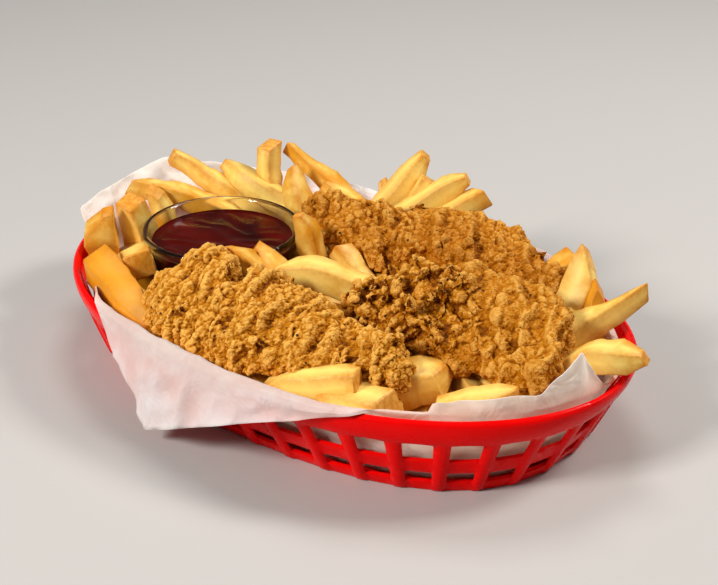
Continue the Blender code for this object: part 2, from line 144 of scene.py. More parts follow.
def copy_of(source: bpy.types.Object, name: str) -> bpy.types.Object:
    """Copy an object, with a mesh of its own.

    Args:
        source: The object to copy.
        name: The copy's name.

    Returns:
        The copy, with no modifier.
    """
    copy = bpy.data.objects.new(name, source.data.copy())
    bpy.context.scene.collection.objects.link(copy)
    return copy


def join(items: Sequence[bpy.types.Object], name: str) -> bpy.types.Object:
    """Join objects into one mesh.

    Args:
        items: The objects; the first one takes in the others.
        name: The joined object's name.

    Returns:
        The joined object.
    """
    activate(items[0])
    for item in items[1:]:
        item.select_set(True)
    bpy.ops.object.join()
    joined = bpy.context.view_layer.objects.active
    joined.name = name
    joined.data.name = name
    return joined


def move_points(item: bpy.types.Object, rule: Callable[[Vector], Vector]) -> None:
    """Put every vertex of an object where a rule says.

    Args:
        item: The object, in object mode.
        rule: Gives the new place for the old one.
    """
    for vertex in item.data.vertices:
        vertex.co = rule(vertex.co)
    item.data.update()


def shift_points(item: bpy.types.Object, rule: Callable[[bpy.types.MeshVertex], Vector]) -> None:
    """Move every vertex of an object by what a rule says, all worked out before the first one moves.

    Args:
        item: The object, in object mode.
        rule: Gives the move of a vertex.
    """
    moves = [rule(vertex) for vertex in item.data.vertices]
    for vertex, move in zip(item.data.vertices, moves):
        vertex.co += move
    item.data.update()


def clean_normals(item: bpy.types.Object, merge: float = 0.01) -> None:
    """Merge doubled vertices and turn all faces outwards.

    Args:
        item: The object, in object mode.
        merge: Distance under which vertices are one.
    """
    with edit_mode(item):
        bpy.ops.mesh.select_all(action="SELECT")
        bpy.ops.mesh.remove_doubles(threshold=merge)
        bpy.ops.mesh.normals_make_consistent(inside=False)


def write_attribute(item: bpy.types.Object, name: str, values: Iterable[float]) -> None:
    """Store one number for each vertex, for a material to read.

    Args:
        item: The object.
        name: The attribute's name.
        values: The numbers, in the order of the vertices.
    """
    data = item.data
    attribute = data.attributes.get(name) or data.attributes.new(name, "FLOAT", "POINT")
    attribute.data.foreach_set("value", list(values))


def finish_piece(item: bpy.types.Object, finish: "Finish", node: str = "", smooth_angle: float = 180.0) -> None:
    """Turn a piece to metres, shade and paint it, and let it ride on the part's body.

    Args:
        item: The finished mesh, in millimetres, with its place in its vertices.
        finish: What it is made of.
        node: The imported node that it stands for, if any.
        smooth_angle: Edges sharper than this, in degrees, stay sharp.
    """
    activate(item)
    item.data.transform(Matrix.Scale(MM, 4))
    bpy.ops.object.shade_smooth_by_angle(angle=math.radians(smooth_angle))
    item.data.materials.clear()
    item.data.materials.append(finish.material())
    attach(item, "root")
    if node:
        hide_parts(node)
    LOG.info("%s: %d vertices", item.name, len(item.data.vertices))


def smoothstep(low: float, high: float, value: float) -> float:
    """Ease from 0 at low to 1 at high."""
    part = min(max((value - low) / (high - low), 0.0), 1.0)
    return part * part * (3.0 - 2.0 * part)


# Shared shape: the oval that basket, paper and heap all follow

@dataclass(frozen=True)
class BasketForm:
    """Oval wall that leans outwards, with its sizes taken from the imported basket."""

    wall_lean: float = 0.5
    base_squareness: float = 2.5
    rim_squareness: float = 2.0
    wall: float = 2.0
    floor: float = 2.2
    band_proud: float = 1.5
    ribs: int = 38
    rim_lean: float = 0.1       # share of the wall's lean that the rim stands further out
    rim_slack: float = 0.15
    fine_steps: int = 2400      # of the oval that is measured

    @cached_property
    def height(self) -> float:
        """Height of the rim."""
        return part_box("basket")[1].z / MM

    @cached_property
    def rim_half(self) -> Pair:
        """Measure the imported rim.

        Returns:
            Half length and half width over it.
        """
        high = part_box("basket")[1] / MM
        lean = self.rim_lean * self.wall_lean * self.wall
        return high.x + lean + self.rim_slack, high.y + lean + self.rim_slack

    @staticmethod
    def oval(angle: float, half_length: float, half_width: float, squareness: float) -> tuple[Vector, Vector]:
        """Point and outward normal of a superellipse.

        Args:
            angle: Parameter angle in radians.
            half_length: Half size along X.
            half_width: Half size along Y.
            squareness: 2 is an ellipse, more is squarer.

        Returns:
            The point and the unit normal, both with z = 0.
        """
        c, s = math.cos(angle), math.sin(angle)
        power = 2.0 / squareness
        x = math.copysign(abs(c) ** power, c) * half_length
        y = math.copysign(abs(s) ** power, s) * half_width
        grow = squareness - 1.0
        nx = math.copysign((abs(x) / half_length) ** grow / half_length, c)
        ny = math.copysign((abs(y) / half_width) ** grow / half_width, s)
        return Vector((x, y, 0.0)), Vector((nx, ny, 0.0)).normalized()

    def wall_point(self, angle: float, height: float, outset: float = 0.0) -> Vector:
        """Point of the outer wall.

        Args:
            angle: Parameter angle in radians.
            height: Height over the underside.
            outset: Distance out from the wall along its normal.

        Returns:
            The point.
        """
        rise = min(max(height / self.height, 0.0), 1.0)
        squareness = self.base_squareness + (self.rim_squareness - self.base_squareness) * rise
        lean = self.wall_lean * (height - self.height) - self.band_proud
        half_length, half_width = self.rim_half
        place, normal = self.oval(angle, half_length + lean, half_width + lean, squareness)
        return place + normal * outset + Vector((0.0, 0.0, height))

    def rim_point(self, angle: float, outset: float, height: float) -> Vector:
        """Point at a distance out from the rim's outer edge, and at any height."""
        place, normal = self.oval(angle, *self.rim_half, self.rim_squareness)
        return place + normal * outset + Vector((0.0, 0.0, height))

    @cached_property
    def girth_marks(self) -> list[float]:
        """Measure the oval at mid height.

        Returns:
            Lengths along it from angle 0 to each of the fine steps.
        """
        fine = self.fine_steps
        points = [self.wall_point(math.tau * i / fine, self.height / 2) for i in range(fine + 1)]
        marks = [0.0]
        for here, following in zip(points, points[1:]):
            marks.append(marks[-1] + (following - here).length)
        return marks

    @property
    def girth(self) -> float:
        """Length of the oval at mid height."""
        return self.girth_marks[-1]

    def angle_at(self, share: float) -> float:
        """Parameter angle at a share of the girth.

        Args:
            share: 0 to 1 once round from +X; more or less goes on turning.

        Returns:
            The angle in radians.
        """
        fine = self.fine_steps
        goal = (share % 1.0) * self.girth
        low = min(bisect_right(self.girth_marks, goal), fine) - 1
        span = self.girth_marks[low + 1] - self.girth_marks[low]
        part = (goal - self.girth_marks[low]) / span
        return math.tau * ((low + part) / fine + math.floor(share))


# Finishes

class Graph:
    """A node tree under construction, with short calls for the nodes that the finishes use."""

    def __init__(self, tree: bpy.types.NodeTree, shader: bpy.types.Node | None = None) -> None:
        """Start on a tree.

        Args:
            tree: A material's or a group's node tree.
            shader: The material's shader.
        """
        self.tree = tree
        self.shader = shader

    def feed(self, node: bpy.types.Node, key: str | int, value: object) -> None:
        """Link a socket to a node's input, or set the input to a plain value.

        Args:
            node: The node.
            key: The input's name or number.
            value: A socket, a number, a vector or a colour without its alpha.
        """
        entry = node.inputs[key]
        if isinstance(value, bpy.types.NodeSocket):
            self.tree.links.new(value, entry)
        else:
            entry.default_value = (*value, 1.0) if entry.type == "RGBA" else value

    def paint(self, name: str, value: object) -> None:
        """Feed one of the shader's inputs."""
        self.feed(self.shader, name, value)

    def node(self, kind: str, inputs: dict | None = None, **settings: object) -> bpy.types.Node:
        """Add a node.

        Args:
            kind: The node's type.
            inputs: Values or sockets for its inputs, by name or number.
            settings: The node's own properties.

        Returns:
            The node.
        """
        made = self.tree.nodes.new(kind)
        for key, value in settings.items():
            setattr(made, key, value)
        for key, value in (inputs or {}).items():
            self.feed(made, key, value)
        return made

    def math(self, operation: str, a: object, b: object = 0.0, clamp: bool = False) -> bpy.types.NodeSocket:
        """Add a Math node and return its result."""
        return self.node("ShaderNodeMath", {0: a, 1: b}, operation=operation, use_clamp=clamp).outputs[0]

    def times(self, a: object, b: object) -> bpy.types.NodeSocket:
        """Multiply two values and return the product."""
        return self.math("MULTIPLY", a, b)

    def mix(self, share: object, a: object, b: object) -> bpy.types.NodeSocket:
        """Mix two colours and return the result."""
        return self.node("ShaderNodeMix", {0: share, 6: a, 7: b}, data_type="RGBA").outputs[2]

    def span(self, value: object, low: float, high: float, to_low: float = 0.0,
             to_high: float = 1.0) -> bpy.types.NodeSocket:
        """Map a range of values smoothly to another and return the result."""
        inputs = {"Value": value, "From Min": low, "From Max": high, "To Min": to_low, "To Max": to_high}
        return self.node("ShaderNodeMapRange", inputs, interpolation_type="SMOOTHSTEP").outputs["Result"]

    def ramp(self, value: object, stops: Sequence[tuple[float, Triple]]) -> bpy.types.NodeSocket:
        """Turn a value into a colour through colour stops.

        Args:
            value: The value.
            stops: Place and colour of each stop.

        Returns:
            The colour.
        """
        made = self.node("ShaderNodeValToRGB", {"Fac": value})
        elements = made.color_ramp.elements
        while len(elements) < len(stops):
            elements.new(0.5)
        for element, (place, colour) in zip(elements, stops):
            element.position = place
            element.color = (*colour, 1.0)
        return made.outputs["Color"]

    def noise(self, vector: object, scale: float, detail: float = 3.0, roughness: float = 0.5,
              distortion: float = 0.0) -> bpy.types.NodeSocket:
        """Add a Noise Texture and return its value."""
        inputs = dict(Vector=vector, Scale=scale, Detail=detail, Roughness=roughness, Distortion=distortion)
        return self.node("ShaderNodeTexNoise", inputs).outputs["Fac"]

    def attribute(self, name: str) -> bpy.types.NodeSocket:
        """Read a per-vertex number."""
        return self.node("ShaderNodeAttribute", attribute_name=name).outputs["Fac"]

    def place(self) -> bpy.types.NodeSocket:
        """Object coordinates."""
        return self.node("ShaderNodeTexCoord").outputs["Object"]

    def bump(self, height: object, strength: float, distance_mm: float,
             normal: object = None) -> bpy.types.NodeSocket:
        """Turn a height into a normal.

        Args:
            height: The height.
            strength: How much of it shows.
            distance_mm: What a height of 1 stands for, in millimetres.
            normal: The normal that it adds to, if any.

        Returns:
            The normal.
        """
        inputs = {"Height": height, "Strength": strength, "Distance": distance_mm * MM}
        if normal is not None:
            inputs["Normal"] = normal
        return self.node("ShaderNodeBump", inputs).outputs["Normal"]

    def group(self, group: bpy.types.NodeTree, **inputs: object) -> bpy.types.NodeSocket:
        """Place a shared effect.

        Args:
            group: The effect's node group.
            inputs: Values or sockets for its inputs, by their names in lower case.

        Returns:
            Its first output.
        """
        made = self.node("ShaderNodeGroup", node_tree=group)
        for name, value in inputs.items():
            self.feed(made, name.title(), value)
        return made.outputs[0]


class SharedEffect:
    """Node groups that more than one finish uses, each built once."""

    @staticmethod
    def start(name: str, output: str, **inputs: float | None) -> tuple[Graph, dict, object]:
        """Make a group with named sockets.

        Args:
            name: The group's name.
            output: Name of its one float output.
            inputs: Default of each input, by its name in lower case; None makes it a vector.

        Returns:
            The graph, the input sockets by name and the output socket.
        """
        tree = bpy.data.node_groups.new(name, "ShaderNodeTree")
        for key, default in inputs.items():
            kind = "NodeSocketVector" if default is None else "NodeSocketFloat"
            socket = tree.interface.new_socket(key.title(), in_out="INPUT", socket_type=kind)
            if default is not None:
                socket.default_value = default
        tree.interface.new_socket(output, in_out="OUTPUT", socket_type="NodeSocketFloat")
        entry = tree.nodes.new("NodeGroupInput")
        leave = tree.nodes.new("NodeGroupOutput")
        return Graph(tree), {socket.name: socket for socket in entry.outputs}, leave.inputs[0]

    @staticmethod
    @cache
    def mottle() -> bpy.types.NodeTree:
        """Soft uneven patches between 0 and 1, as in fried crust, potato and paper.

        Returns:
            The group.
        """
        graph, given, result = SharedEffect.start("mottle", "Mask", vector=None, scale=60.0, contrast=2.0)
        soft = graph.noise(given["Vector"], given["Scale"], 4.0, 0.55, 0.3)
        spread = graph.times(graph.math("SUBTRACT", soft, 0.5), given["Contrast"])
        graph.tree.links.new(graph.math("ADD", spread, 0.5, clamp=True), result)
        return graph.tree

    @staticmethod
    @cache
    def specks() -> bpy.types.NodeTree:
        """Sparse small dots, as of pepper or a browned blister: 1 inside a dot.

        Returns:
            The group.
        """
        graph, given, result = SharedEffect.start("specks", "Mask", vector=None, scale=300.0, size=0.2, share=0.1)
        wobble = graph.node("ShaderNodeTexNoise", {"Vector": given["Vector"], "Scale": 900.0, "Detail": 2.0})
        bend = graph.node("ShaderNodeVectorMath", {0: wobble.outputs["Color"], "Scale": 0.0012},
                          operation="SCALE").outputs[0]
        spot = graph.node("ShaderNodeVectorMath", {0: given["Vector"], 1: bend}, operation="ADD").outputs[0]
        cells = graph.node("ShaderNodeTexVoronoi", {"Vector": spot, "Scale": given["Scale"], "Randomness": 1.0})
        chance = graph.node("ShaderNodeSeparateColor", {0: cells.outputs["Color"]}).outputs[0]
        inside = graph.math("LESS_THAN", cells.outputs["Distance"], given["Size"])
        picked = graph.math("LESS_THAN", chance, given["Share"])
        graph.tree.links.new(graph.times(inside, picked), result)
        return graph.tree

    @staticmethod
    @cache
    def grain() -> bpy.types.NodeTree:
        """Fine rounded granules as a height, for skins that are rough up close.

        Returns:
            The group.
        """
        graph, given, result = SharedEffect.start("grain", "Height", vector=None, scale=1200.0, roundness=1.0)
        cells = graph.node("ShaderNodeTexVoronoi", {"Vector": given["Vector"], "Scale": given["Scale"],
                                                    "Smoothness": 0.6}, feature="SMOOTH_F1")
        dome = graph.times(cells.outputs["Distance"], given["Roundness"])
        soft = graph.noise(given["Vector"], given["Scale"], 2.0)
        graph.tree.links.new(graph.math("SUBTRACT", soft, dome), result)
        return graph.tree


@dataclass(frozen=True)
class Finish:
    """What a piece is made of. Each kind builds its material once and shares it."""

    slot: str
    roughness: float = 0.5
    specular: float = 0.5

    def material(self) -> bpy.types.Material:
        """Build the finish's material at its first use.

        Returns:
            The material.
        """
        name = f"{self.slot}_{type(self).__name__.lower()}"
        material = bpy.data.materials.get(name)
        if material is None:
            material = bpy.data.materials.new(name)
            material.use_nodes = True
            graph = Graph(material.node_tree, material.node_tree.nodes["Principled BSDF"])
            graph.paint("Roughness", self.roughness)
            graph.paint("Specular IOR Level", self.specular)
            self.dress(graph)
        return material

    def dress(self, graph: Graph) -> None:
        """Add the finish's own nodes and values."""
        raise NotImplementedError


@dataclass(frozen=True)
class RedPlastic(Finish):
    """Glossy moulded plastic in bright red, faintly uneven."""

    colour: Triple = (0.84, 0.002, 0.002)
    deep: Triple = (0.70, 0.001, 0.001)
    scuffed: float = 0.14       # how much rougher it is where it is scuffed

    def dress(self, graph: Graph) -> None:
        """Colour, gloss and the faint waviness of a moulding.

        Args:
            graph: The material's nodes.
        """
        place = graph.place()
        patches = graph.group(SharedEffect.mottle(), vector=place, scale=40.0, contrast=1.6)
        graph.paint("Base Color", graph.mix(patches, self.deep, self.colour))
        scuffs = graph.noise(place, 260.0, 4.0, 0.6)
        graph.paint("Roughness", graph.span(scuffs, 0.35, 0.75, self.roughness, self.roughness + self.scuffed))
        graph.paint("Normal", graph.bump(graph.noise(place, 90.0, 2.0), 0.25, 0.25))


@dataclass(frozen=True)
class WaxedPaper(Finish):
    """Thin white waxed sheet, with painted red light and shade where it lies on the red plastic, and painted warm
    light and shade.
    """

    sheet: Triple = (0.94, 0.925, 0.91)
    # warm tint of the clouds, which is also the colour of the painted warm bounced light and painted shade
    warm: Triple = (0.97, 0.71, 0.49)
    # painted red light and shade: the pinkish brown where the sheet lies on the red plastic
    blush: Triple = (0.82, 0.45, 0.37)
    cloudy: float = 0.18        # how much of the warm tone the clouds bring
    glow: float = 0.55          # share of the light that goes into the sheet
    glow_colours: Triple = (1.0, 0.85, 0.75)
    glow_mm: float = 3.0

    def dress(self, graph: Graph) -> None:
        """Paper white with warm clouds, painted warm light and shade, painted red light and shade where it lies close
        to the red plastic, fibres and fine creases.

        Args:
            graph: The material's nodes.
        """
        place = graph.place()
        clouds = graph.group(SharedEffect.mottle(), vector=place, scale=35.0, contrast=1.8)
        # warm clouds plus the painted warm bounced light and painted shade of the attribute
        warmth = graph.math("ADD", graph.times(clouds, self.cloudy), graph.attribute("warmth"), clamp=True)
        base = graph.mix(warmth, self.sheet, self.warm)
        streaks = graph.group(SharedEffect.mottle(), vector=place, scale=70.0, contrast=2.6)
        # painted red light and shade close to the red plastic, broken up by streaks
        touch = graph.times(graph.attribute("touch"), graph.span(streaks, 0.1, 0.9, 0.65, 1.0))
        graph.paint("Base Color", graph.mix(touch, base, self.blush))
        fibres = graph.noise(place, 1500.0, 3.0, 0.7)
        folds = graph.noise(place, 75.0, 3.0, 0.5, 0.6)
        creases = graph.math("ABSOLUTE", graph.math("SUBTRACT", folds, 0.5))
        normal = graph.bump(fibres, 0.12, 0.1)
        graph.paint("Normal", graph.bump(creases, 0.8, 2.5, normal))
        graph.paint("Subsurface Weight", self.glow)
        graph.paint("Subsurface Radius", self.glow_colours)
        graph.paint("Subsurface Scale", self.glow_mm * MM)


@dataclass(frozen=True)
class Breading(Finish):
    """Craggy fried crust: painted highlight on the crests, painted shade in the pits, toasted patches that are partly
    painted shade, and pepper.
    """

    # pit, flank and crest colours paint shade in the crevices and highlight on the crests
    pit: Triple = (0.115, 0.023, 0.0)
    flank: Triple = (0.46, 0.160, 0.001)
    crest: Triple = (0.80, 0.43, 0.085)
    # toasted patches, partly real browning and partly painted shade
    toast: Triple = (0.36, 0.105, 0.001)
    pepper: Triple = (0.045, 0.022, 0.006)
    levels: Triple = (0.08, 0.42, 0.85)     # of the crag attribute, for pit, flank and crest
    shine_range: float = 0.12

    def dress(self, graph: Graph) -> None:
        """Colour by the crag attribute as painted shade in the pits and painted highlight on the crests, with toasted
        patches that are partly painted shade, pepper and fine granules.

        Args:
            graph: The material's nodes.
        """
        place = graph.place()
        crag = graph.attribute("crag")
        fine = graph.noise(place, 420.0, 3.0, 0.6)
        level = graph.math("ADD", crag, graph.times(graph.math("SUBTRACT", fine, 0.5), 0.4), clamp=True)
        # painted shade in the pits and painted highlight on the crests, by how far each place stands out
        tone = graph.ramp(level, list(zip(self.levels, (self.pit, self.flank, self.crest))))
        patches = graph.group(SharedEffect.mottle(), vector=place, scale=55.0, contrast=2.4)
        # toasted patches, partly real browning and partly painted shade
        share = graph.times(graph.attribute("toasted"), graph.span(patches, 0.0, 1.0, 0.5, 1.0))
        toasted = graph.mix(share, tone, self.toast)
        specks = graph.group(SharedEffect.specks(), vector=place, scale=260.0, size=0.15, share=0.30)
        graph.paint("Base Color", graph.mix(specks, toasted, self.pepper))
        shine = graph.noise(place, 300.0, 2.0)
        graph.paint("Roughness", graph.span(shine, 0.3, 0.7, self.roughness - self.shine_range,
                                            self.roughness + self.shine_range))
        granules = graph.group(SharedEffect.grain(), vector=place, scale=1100.0, roundness=1.2)
        graph.paint("Normal", graph.bump(granules, 0.8, 0.45))


@dataclass(frozen=True)
class FriedPotato(Finish):
    """Thick fries: pale to golden faces with browner edges and ends."""

    pale: Triple = (0.92, 0.665, 0.165)
    golden: Triple = (0.70, 0.31, 0.012)
    brown: Triple = (0.56, 0.18, 0.006)
    blister: Triple = (0.16, 0.06, 0.012)

    def dress(self, graph: Graph) -> None:
        """Colour by the tone and browning attributes, with blotches and a faintly rough skin.

        Args:
            graph: The material's nodes.
        """
        place = graph.place()
        blotches = graph.group(SharedEffect.mottle(), vector=place, scale=110.0, contrast=2.4)
        uneven = graph.times(graph.math("SUBTRACT", blotches, 0.5), 0.60)
        tone = graph.math("ADD", graph.attribute("tone"), uneven, clamp=True)
        face = graph.mix(graph.span(tone, 0.15, 0.85), self.pale, self.golden)
        fine = graph.noise(place, 500.0, 3.0, 0.6)
        edge = graph.times(graph.attribute("browning"), graph.span(fine, 0.25, 0.75, 0.55, 1.0))
        browned = graph.mix(edge, face, self.brown)
        specks = graph.group(SharedEffect.specks(), vector=place, scale=75.0, size=0.05, share=0.10)
        graph.paint("Base Color", graph.mix(graph.times(specks, 0.7), browned, self.blister))
        granules = graph.group(SharedEffect.grain(), vector=place, scale=900.0, roundness=0.9)
        wavy = graph.bump(graph.noise(place, 170.0, 3.0), 0.30, 0.6)
        graph.paint("Normal", graph.bump(granules, 0.22, 0.2, wavy))


@dataclass(frozen=True)
class ClearGlass(Finish):
    """Clear pressed glass."""

    tint: Triple = (0.97, 0.98, 0.97)
    refraction: float = 1.38

    def dress(self, graph: Graph) -> None:
        """Plain glass with the faint waviness of a pressed dish.

        Args:
            graph: The material's nodes.
        """
        graph.paint("Base Color", self.tint)
        graph.paint("Transmission Weight", 1.0)
        graph.paint("IOR", self.refraction)
        graph.paint("Normal", graph.bump(graph.noise(graph.place(), 60.0, 1.0), 0.10, 0.3))


@dataclass(frozen=True)
class DarkSauce(Finish):
    """Thick glossy red-brown dip."""

    dark: Triple = (0.020, 0.0008, 0.0002)
    red: Triple = (0.085, 0.0024, 0.0005)

    def dress(self, graph: Graph) -> None:
        """Deep red-brown with swirls and a wet shine.

        Args:
            graph: The material's nodes.
        """
        place = graph.place()
        swirls = graph.group(SharedEffect.mottle(), vector=place, scale=45.0, contrast=3.0)
        graph.paint("Base Color", graph.mix(swirls, self.dark, self.red))
        graph.paint("Normal", graph.bump(graph.noise(place, 120.0, 2.0, 0.5, 1.2), 0.25, 0.4))


@dataclass(frozen=True)
class PaleFloor(Finish):
    """Plain pale studio floor."""

    colour: Triple = (0.46, 0.445, 0.43)

    def dress(self, graph: Graph) -> None:
        """A plain pale grey."""
        graph.paint("Base Color", self.colour)


RED_PLASTIC = RedPlastic("red_plastic", 0.20, 0.06)
WAXED_PAPER = WaxedPaper("waxed_paper", 0.48, 0.30)
BREADING = Breading("breading", 0.52, 0.07)
FRIED_POTATO = FriedPotato("fried_potato", 0.42, 0.22)
CLEAR_GLASS = ClearGlass("clear_glass", 0.02)
DARK_SAUCE = DarkSauce("dark_sauce", 0.10, 0.05)
PALE_FLOOR = PaleFloor("pale_floor", 0.6)


# Basket

@dataclass
class LatticeBasket:
    """Oval plastic basket: one bay of the wall is cut out flat, repeated and wrapped round the oval."""

    form: BasketForm
    rib_width: float = 6.2
    rib_proud: float = 1.6
    bar_proud: float = 0.35
    phase: float = 0.2                  # of the ribs, in shares of a bay
    lower_windows: Pair = (4.8, 10.0)
    upper_windows: Pair = (16.4, 25.4)
    slot_parts: Pair = (0.62, 0.86)
    floor_depth: float = 60.0           # flat length that stands for the way from the toe to the floor's middle
    middle_part: float = 0.30           # share of the base's size where the floor's plain middle starts
    corner: float = 1.0
    edge_round: float = 0.45
    toe_rows: Triple = (-1.2, 0.0, 1.6)             # round the corner between floor and wall
    bar_half: float = 1.2                           # half the flat height of the bar between the windows
    band_rows: Sequence[float] = (0.7, 1.3, 3.4, 6.2)   # over the upper windows
    lip_rows: Triple = (2.8, 1.5, 0.6)              # under the top
    lip_fall: float = 2.2                           # of the skin over the rounded lip
    belly: float = 0.9                              # of the band
    thin: float = 0.40                              # the wall's thickness, in shares of the band's
    wall_share: float = 0.56                        # the wall's named size, in shares of the band's thickness

    def build(self) -> bpy.types.Object:
        """Model the basket.

        Returns:
            The finished object.
        """
        bay = self.cut_bay()
        self.repeat_bay(bay)
        self.wrap(bay)
        self.thicken(bay)
        bay.name = "lattice_basket"
        finish_piece(bay, RED_PLASTIC, "basket", 40.0)
        return bay

    def columns(self) -> list[float]:
        """Divide one bay.

        Returns:
            Places along it, in shares of its pitch from the rib's middle.
        """
        half = self.rib_width / 2 / self.pitch
        rest = 1.0 - 2 * half
        return [0.0, half * 0.55, half, half + rest / 3, half + rest * 2 / 3, 1.0 - half, 1.0 - half * 0.55, 1.0]

    @property
    def pitch(self) -> float:
        """Flat width of one bay."""
        return self.form.girth / self.form.ribs

    def rows(self) -> list[float]:
        """Divide the flat bay's height.

        Returns:
            Heights on it: below zero is the floor.
        """
        slot_inner, slot_outer = (-(1.0 - part) * self.floor_depth for part in self.slot_parts)
        low_sill, low_head = self.lower_windows
        high_sill, high_head = self.upper_windows
        middle = -(1.0 - self.middle_part) * self.floor_depth
        top = self.form.height
        bar = (low_head + high_sill) / 2
        return [middle, slot_inner, (slot_inner + slot_outer) / 2, slot_outer, slot_outer / 2, *self.toe_rows,
                low_sill, (low_sill + low_head) / 2, low_head, bar - self.bar_half, bar + self.bar_half, high_sill,
                (high_sill * 2 + high_head) / 3, (high_sill + high_head * 2) / 3, high_head,
                *(high_head + rise for rise in self.band_rows), *(top - fall for fall in self.lip_rows), top]

    def cut_bay(self) -> bpy.types.Object:
        """Model one flat bay: a grid with rounded windows and a floor slot cut out of it.

        Returns:
            The bay.
        """
        columns, rows = self.columns(), self.rows()
        deselect()
        bpy.ops.mesh.primitive_grid_add(x_subdivisions=len(columns) - 1, y_subdivisions=len(rows) - 1, size=2.0)
        bay = bpy.context.active_object
        across, up = len(columns) - 1, len(rows) - 1
        move_points(bay, lambda p: Vector((columns[round((p.x + 1) / 2 * across)] * self.pitch,
                                           rows[round((p.y + 1) / 2 * up)], 0.0)))
        half = self.rib_width / 2
        slots = [-(1.0 - part) * self.floor_depth for part in self.slot_parts]
        for low, high in (self.lower_windows, self.upper_windows, slots):
            def in_window(face: bmesh.types.BMFace, low: float = low, high: float = high) -> bool:
                """Whether a face lies in the window."""
                middle = face.calc_center_median()
                return half < middle.x < self.pitch - half and low < middle.y < high
            corners = {(round(x, 2), round(y, 2)) for x in (half, self.pitch - half) for y in (low, high)}
            with edit_mode(bay):
                select_parts(bay, "FACE", in_window)
                bpy.ops.mesh.dissolve_faces()
                select_parts(bay, "VERT", lambda v: (round(v.co.x, 2), round(v.co.y, 2)) in corners)
                bpy.ops.mesh.bevel(offset=self.corner, segments=3, affect="VERTICES")
                select_parts(bay, "FACE", in_window)
                bpy.ops.mesh.delete(type="FACE")
        return bay

    def repeat_bay(self, bay: bpy.types.Object) -> None:
        """Repeat the bay once for each rib.

        Args:
            bay: The flat bay, which becomes the flat strip.
        """
        modify(bay, "ARRAY", count=self.form.ribs, use_relative_offset=False, use_constant_offset=True,
               constant_offset_displace=(self.pitch, 0.0, 0.0), use_merge_vertices=True, merge_threshold=0.0001)

    def rib_share(self, x: float) -> float:
        """How much a place along the strip is on a rib: 1 on its middle, 0 between ribs."""
        away = abs((x / self.pitch + 0.5) % 1.0 - 0.5) * self.pitch
        return 1.0 - smoothstep(self.rib_width * 0.22, self.rib_width * 0.56, away)

    def outset(self, x: float, y: float) -> float:
        """How far the outer skin stands out at a place of the strip.

        Args:
            x: Length along the strip.
            y: Height on it.

        Returns:
            The distance out from the wall.
        """
        head = self.upper_windows[1]
        ribs = self.bar_proud + (self.rib_proud - self.bar_proud) * self.rib_share(x)
        ribs *= smoothstep(-1.5, 1.0, y)
        if y <= head + 0.3:
            return ribs
        top, lip = self.form.height, self.lip_rows[0]
        crown = math.sqrt(max(0.0, 1.0 - (max(0.0, y - (top - lip)) / lip) ** 2))
        belly = math.sin(math.pi * min(max((y - head) / (top - head), 0.0), 1.0))
        band = (self.form.band_proud + self.belly * belly) - self.lip_fall * (1.0 - crown)
        return band if y > head + 1.0 else (band + max(ribs, self.form.band_proud)) / 2

    def wrap(self, strip: bpy.types.Object) -> None:
        """Bend the flat strip round the oval and close the floor.

        Args:
            strip: The flat strip.
        """
        def placed(p: Vector) -> Vector:
            """Where a place of the flat strip goes."""
            angle = self.form.angle_at(p.x / self.form.girth + self.phase / self.form.ribs)
            if p.y < -0.01:
                edge = self.form.wall_point(angle, 0.0, -self.form.wall * 0.4)
                return edge * (1.0 + p.y / self.floor_depth)
            return self.form.wall_point(angle, p.y, self.outset(p.x, p.y))

        head, grow = self.upper_windows[1], 1.0 - self.thin
        weights = [self.thin + grow * smoothstep(0.0, 1.5, v.co.y - head) for v in strip.data.vertices]
        group = strip.vertex_groups.new(name="thick")
        for index, weight in enumerate(weights):
            group.add([index], weight, "REPLACE")
        move_points(strip, placed)
        with edit_mode(strip):
            bpy.ops.mesh.select_all(action="SELECT")
            bpy.ops.mesh.remove_doubles(threshold=0.02)
            middle = self.middle_part + 0.02
            base = self.form.wall_point(0.0, 0.0)
            select_parts(strip, "EDGE", lambda e: e.is_boundary and all(
                v.co.z < 0.1 and (v.co.xy.length < base.x * middle) for v in e.verts))
            bpy.ops.mesh.edge_face_add()
            bpy.ops.mesh.select_all(action="SELECT")
            bpy.ops.mesh.normals_make_consistent(inside=False)

    def thicken(self, skin: bpy.types.Object) -> None:
        """Give the skin its wall, thicker along the rim band, and round all edges.

        Args:
            skin: The wrapped skin.
        """
        if skin.data.polygons[0].normal.z > 0.5:
            with edit_mode(skin):
                bpy.ops.mesh.select_all(action="SELECT")
                bpy.ops.mesh.flip_normals()
        modify(skin, "SOLIDIFY", thickness=self.form.wall / self.wall_share, offset=-1.0, vertex_group="thick",
               use_even_offset=True)
        modify(skin, "BEVEL", width=self.edge_round, segments=2, limit_method="ANGLE",
               angle_limit=math.radians(50))


# Paper

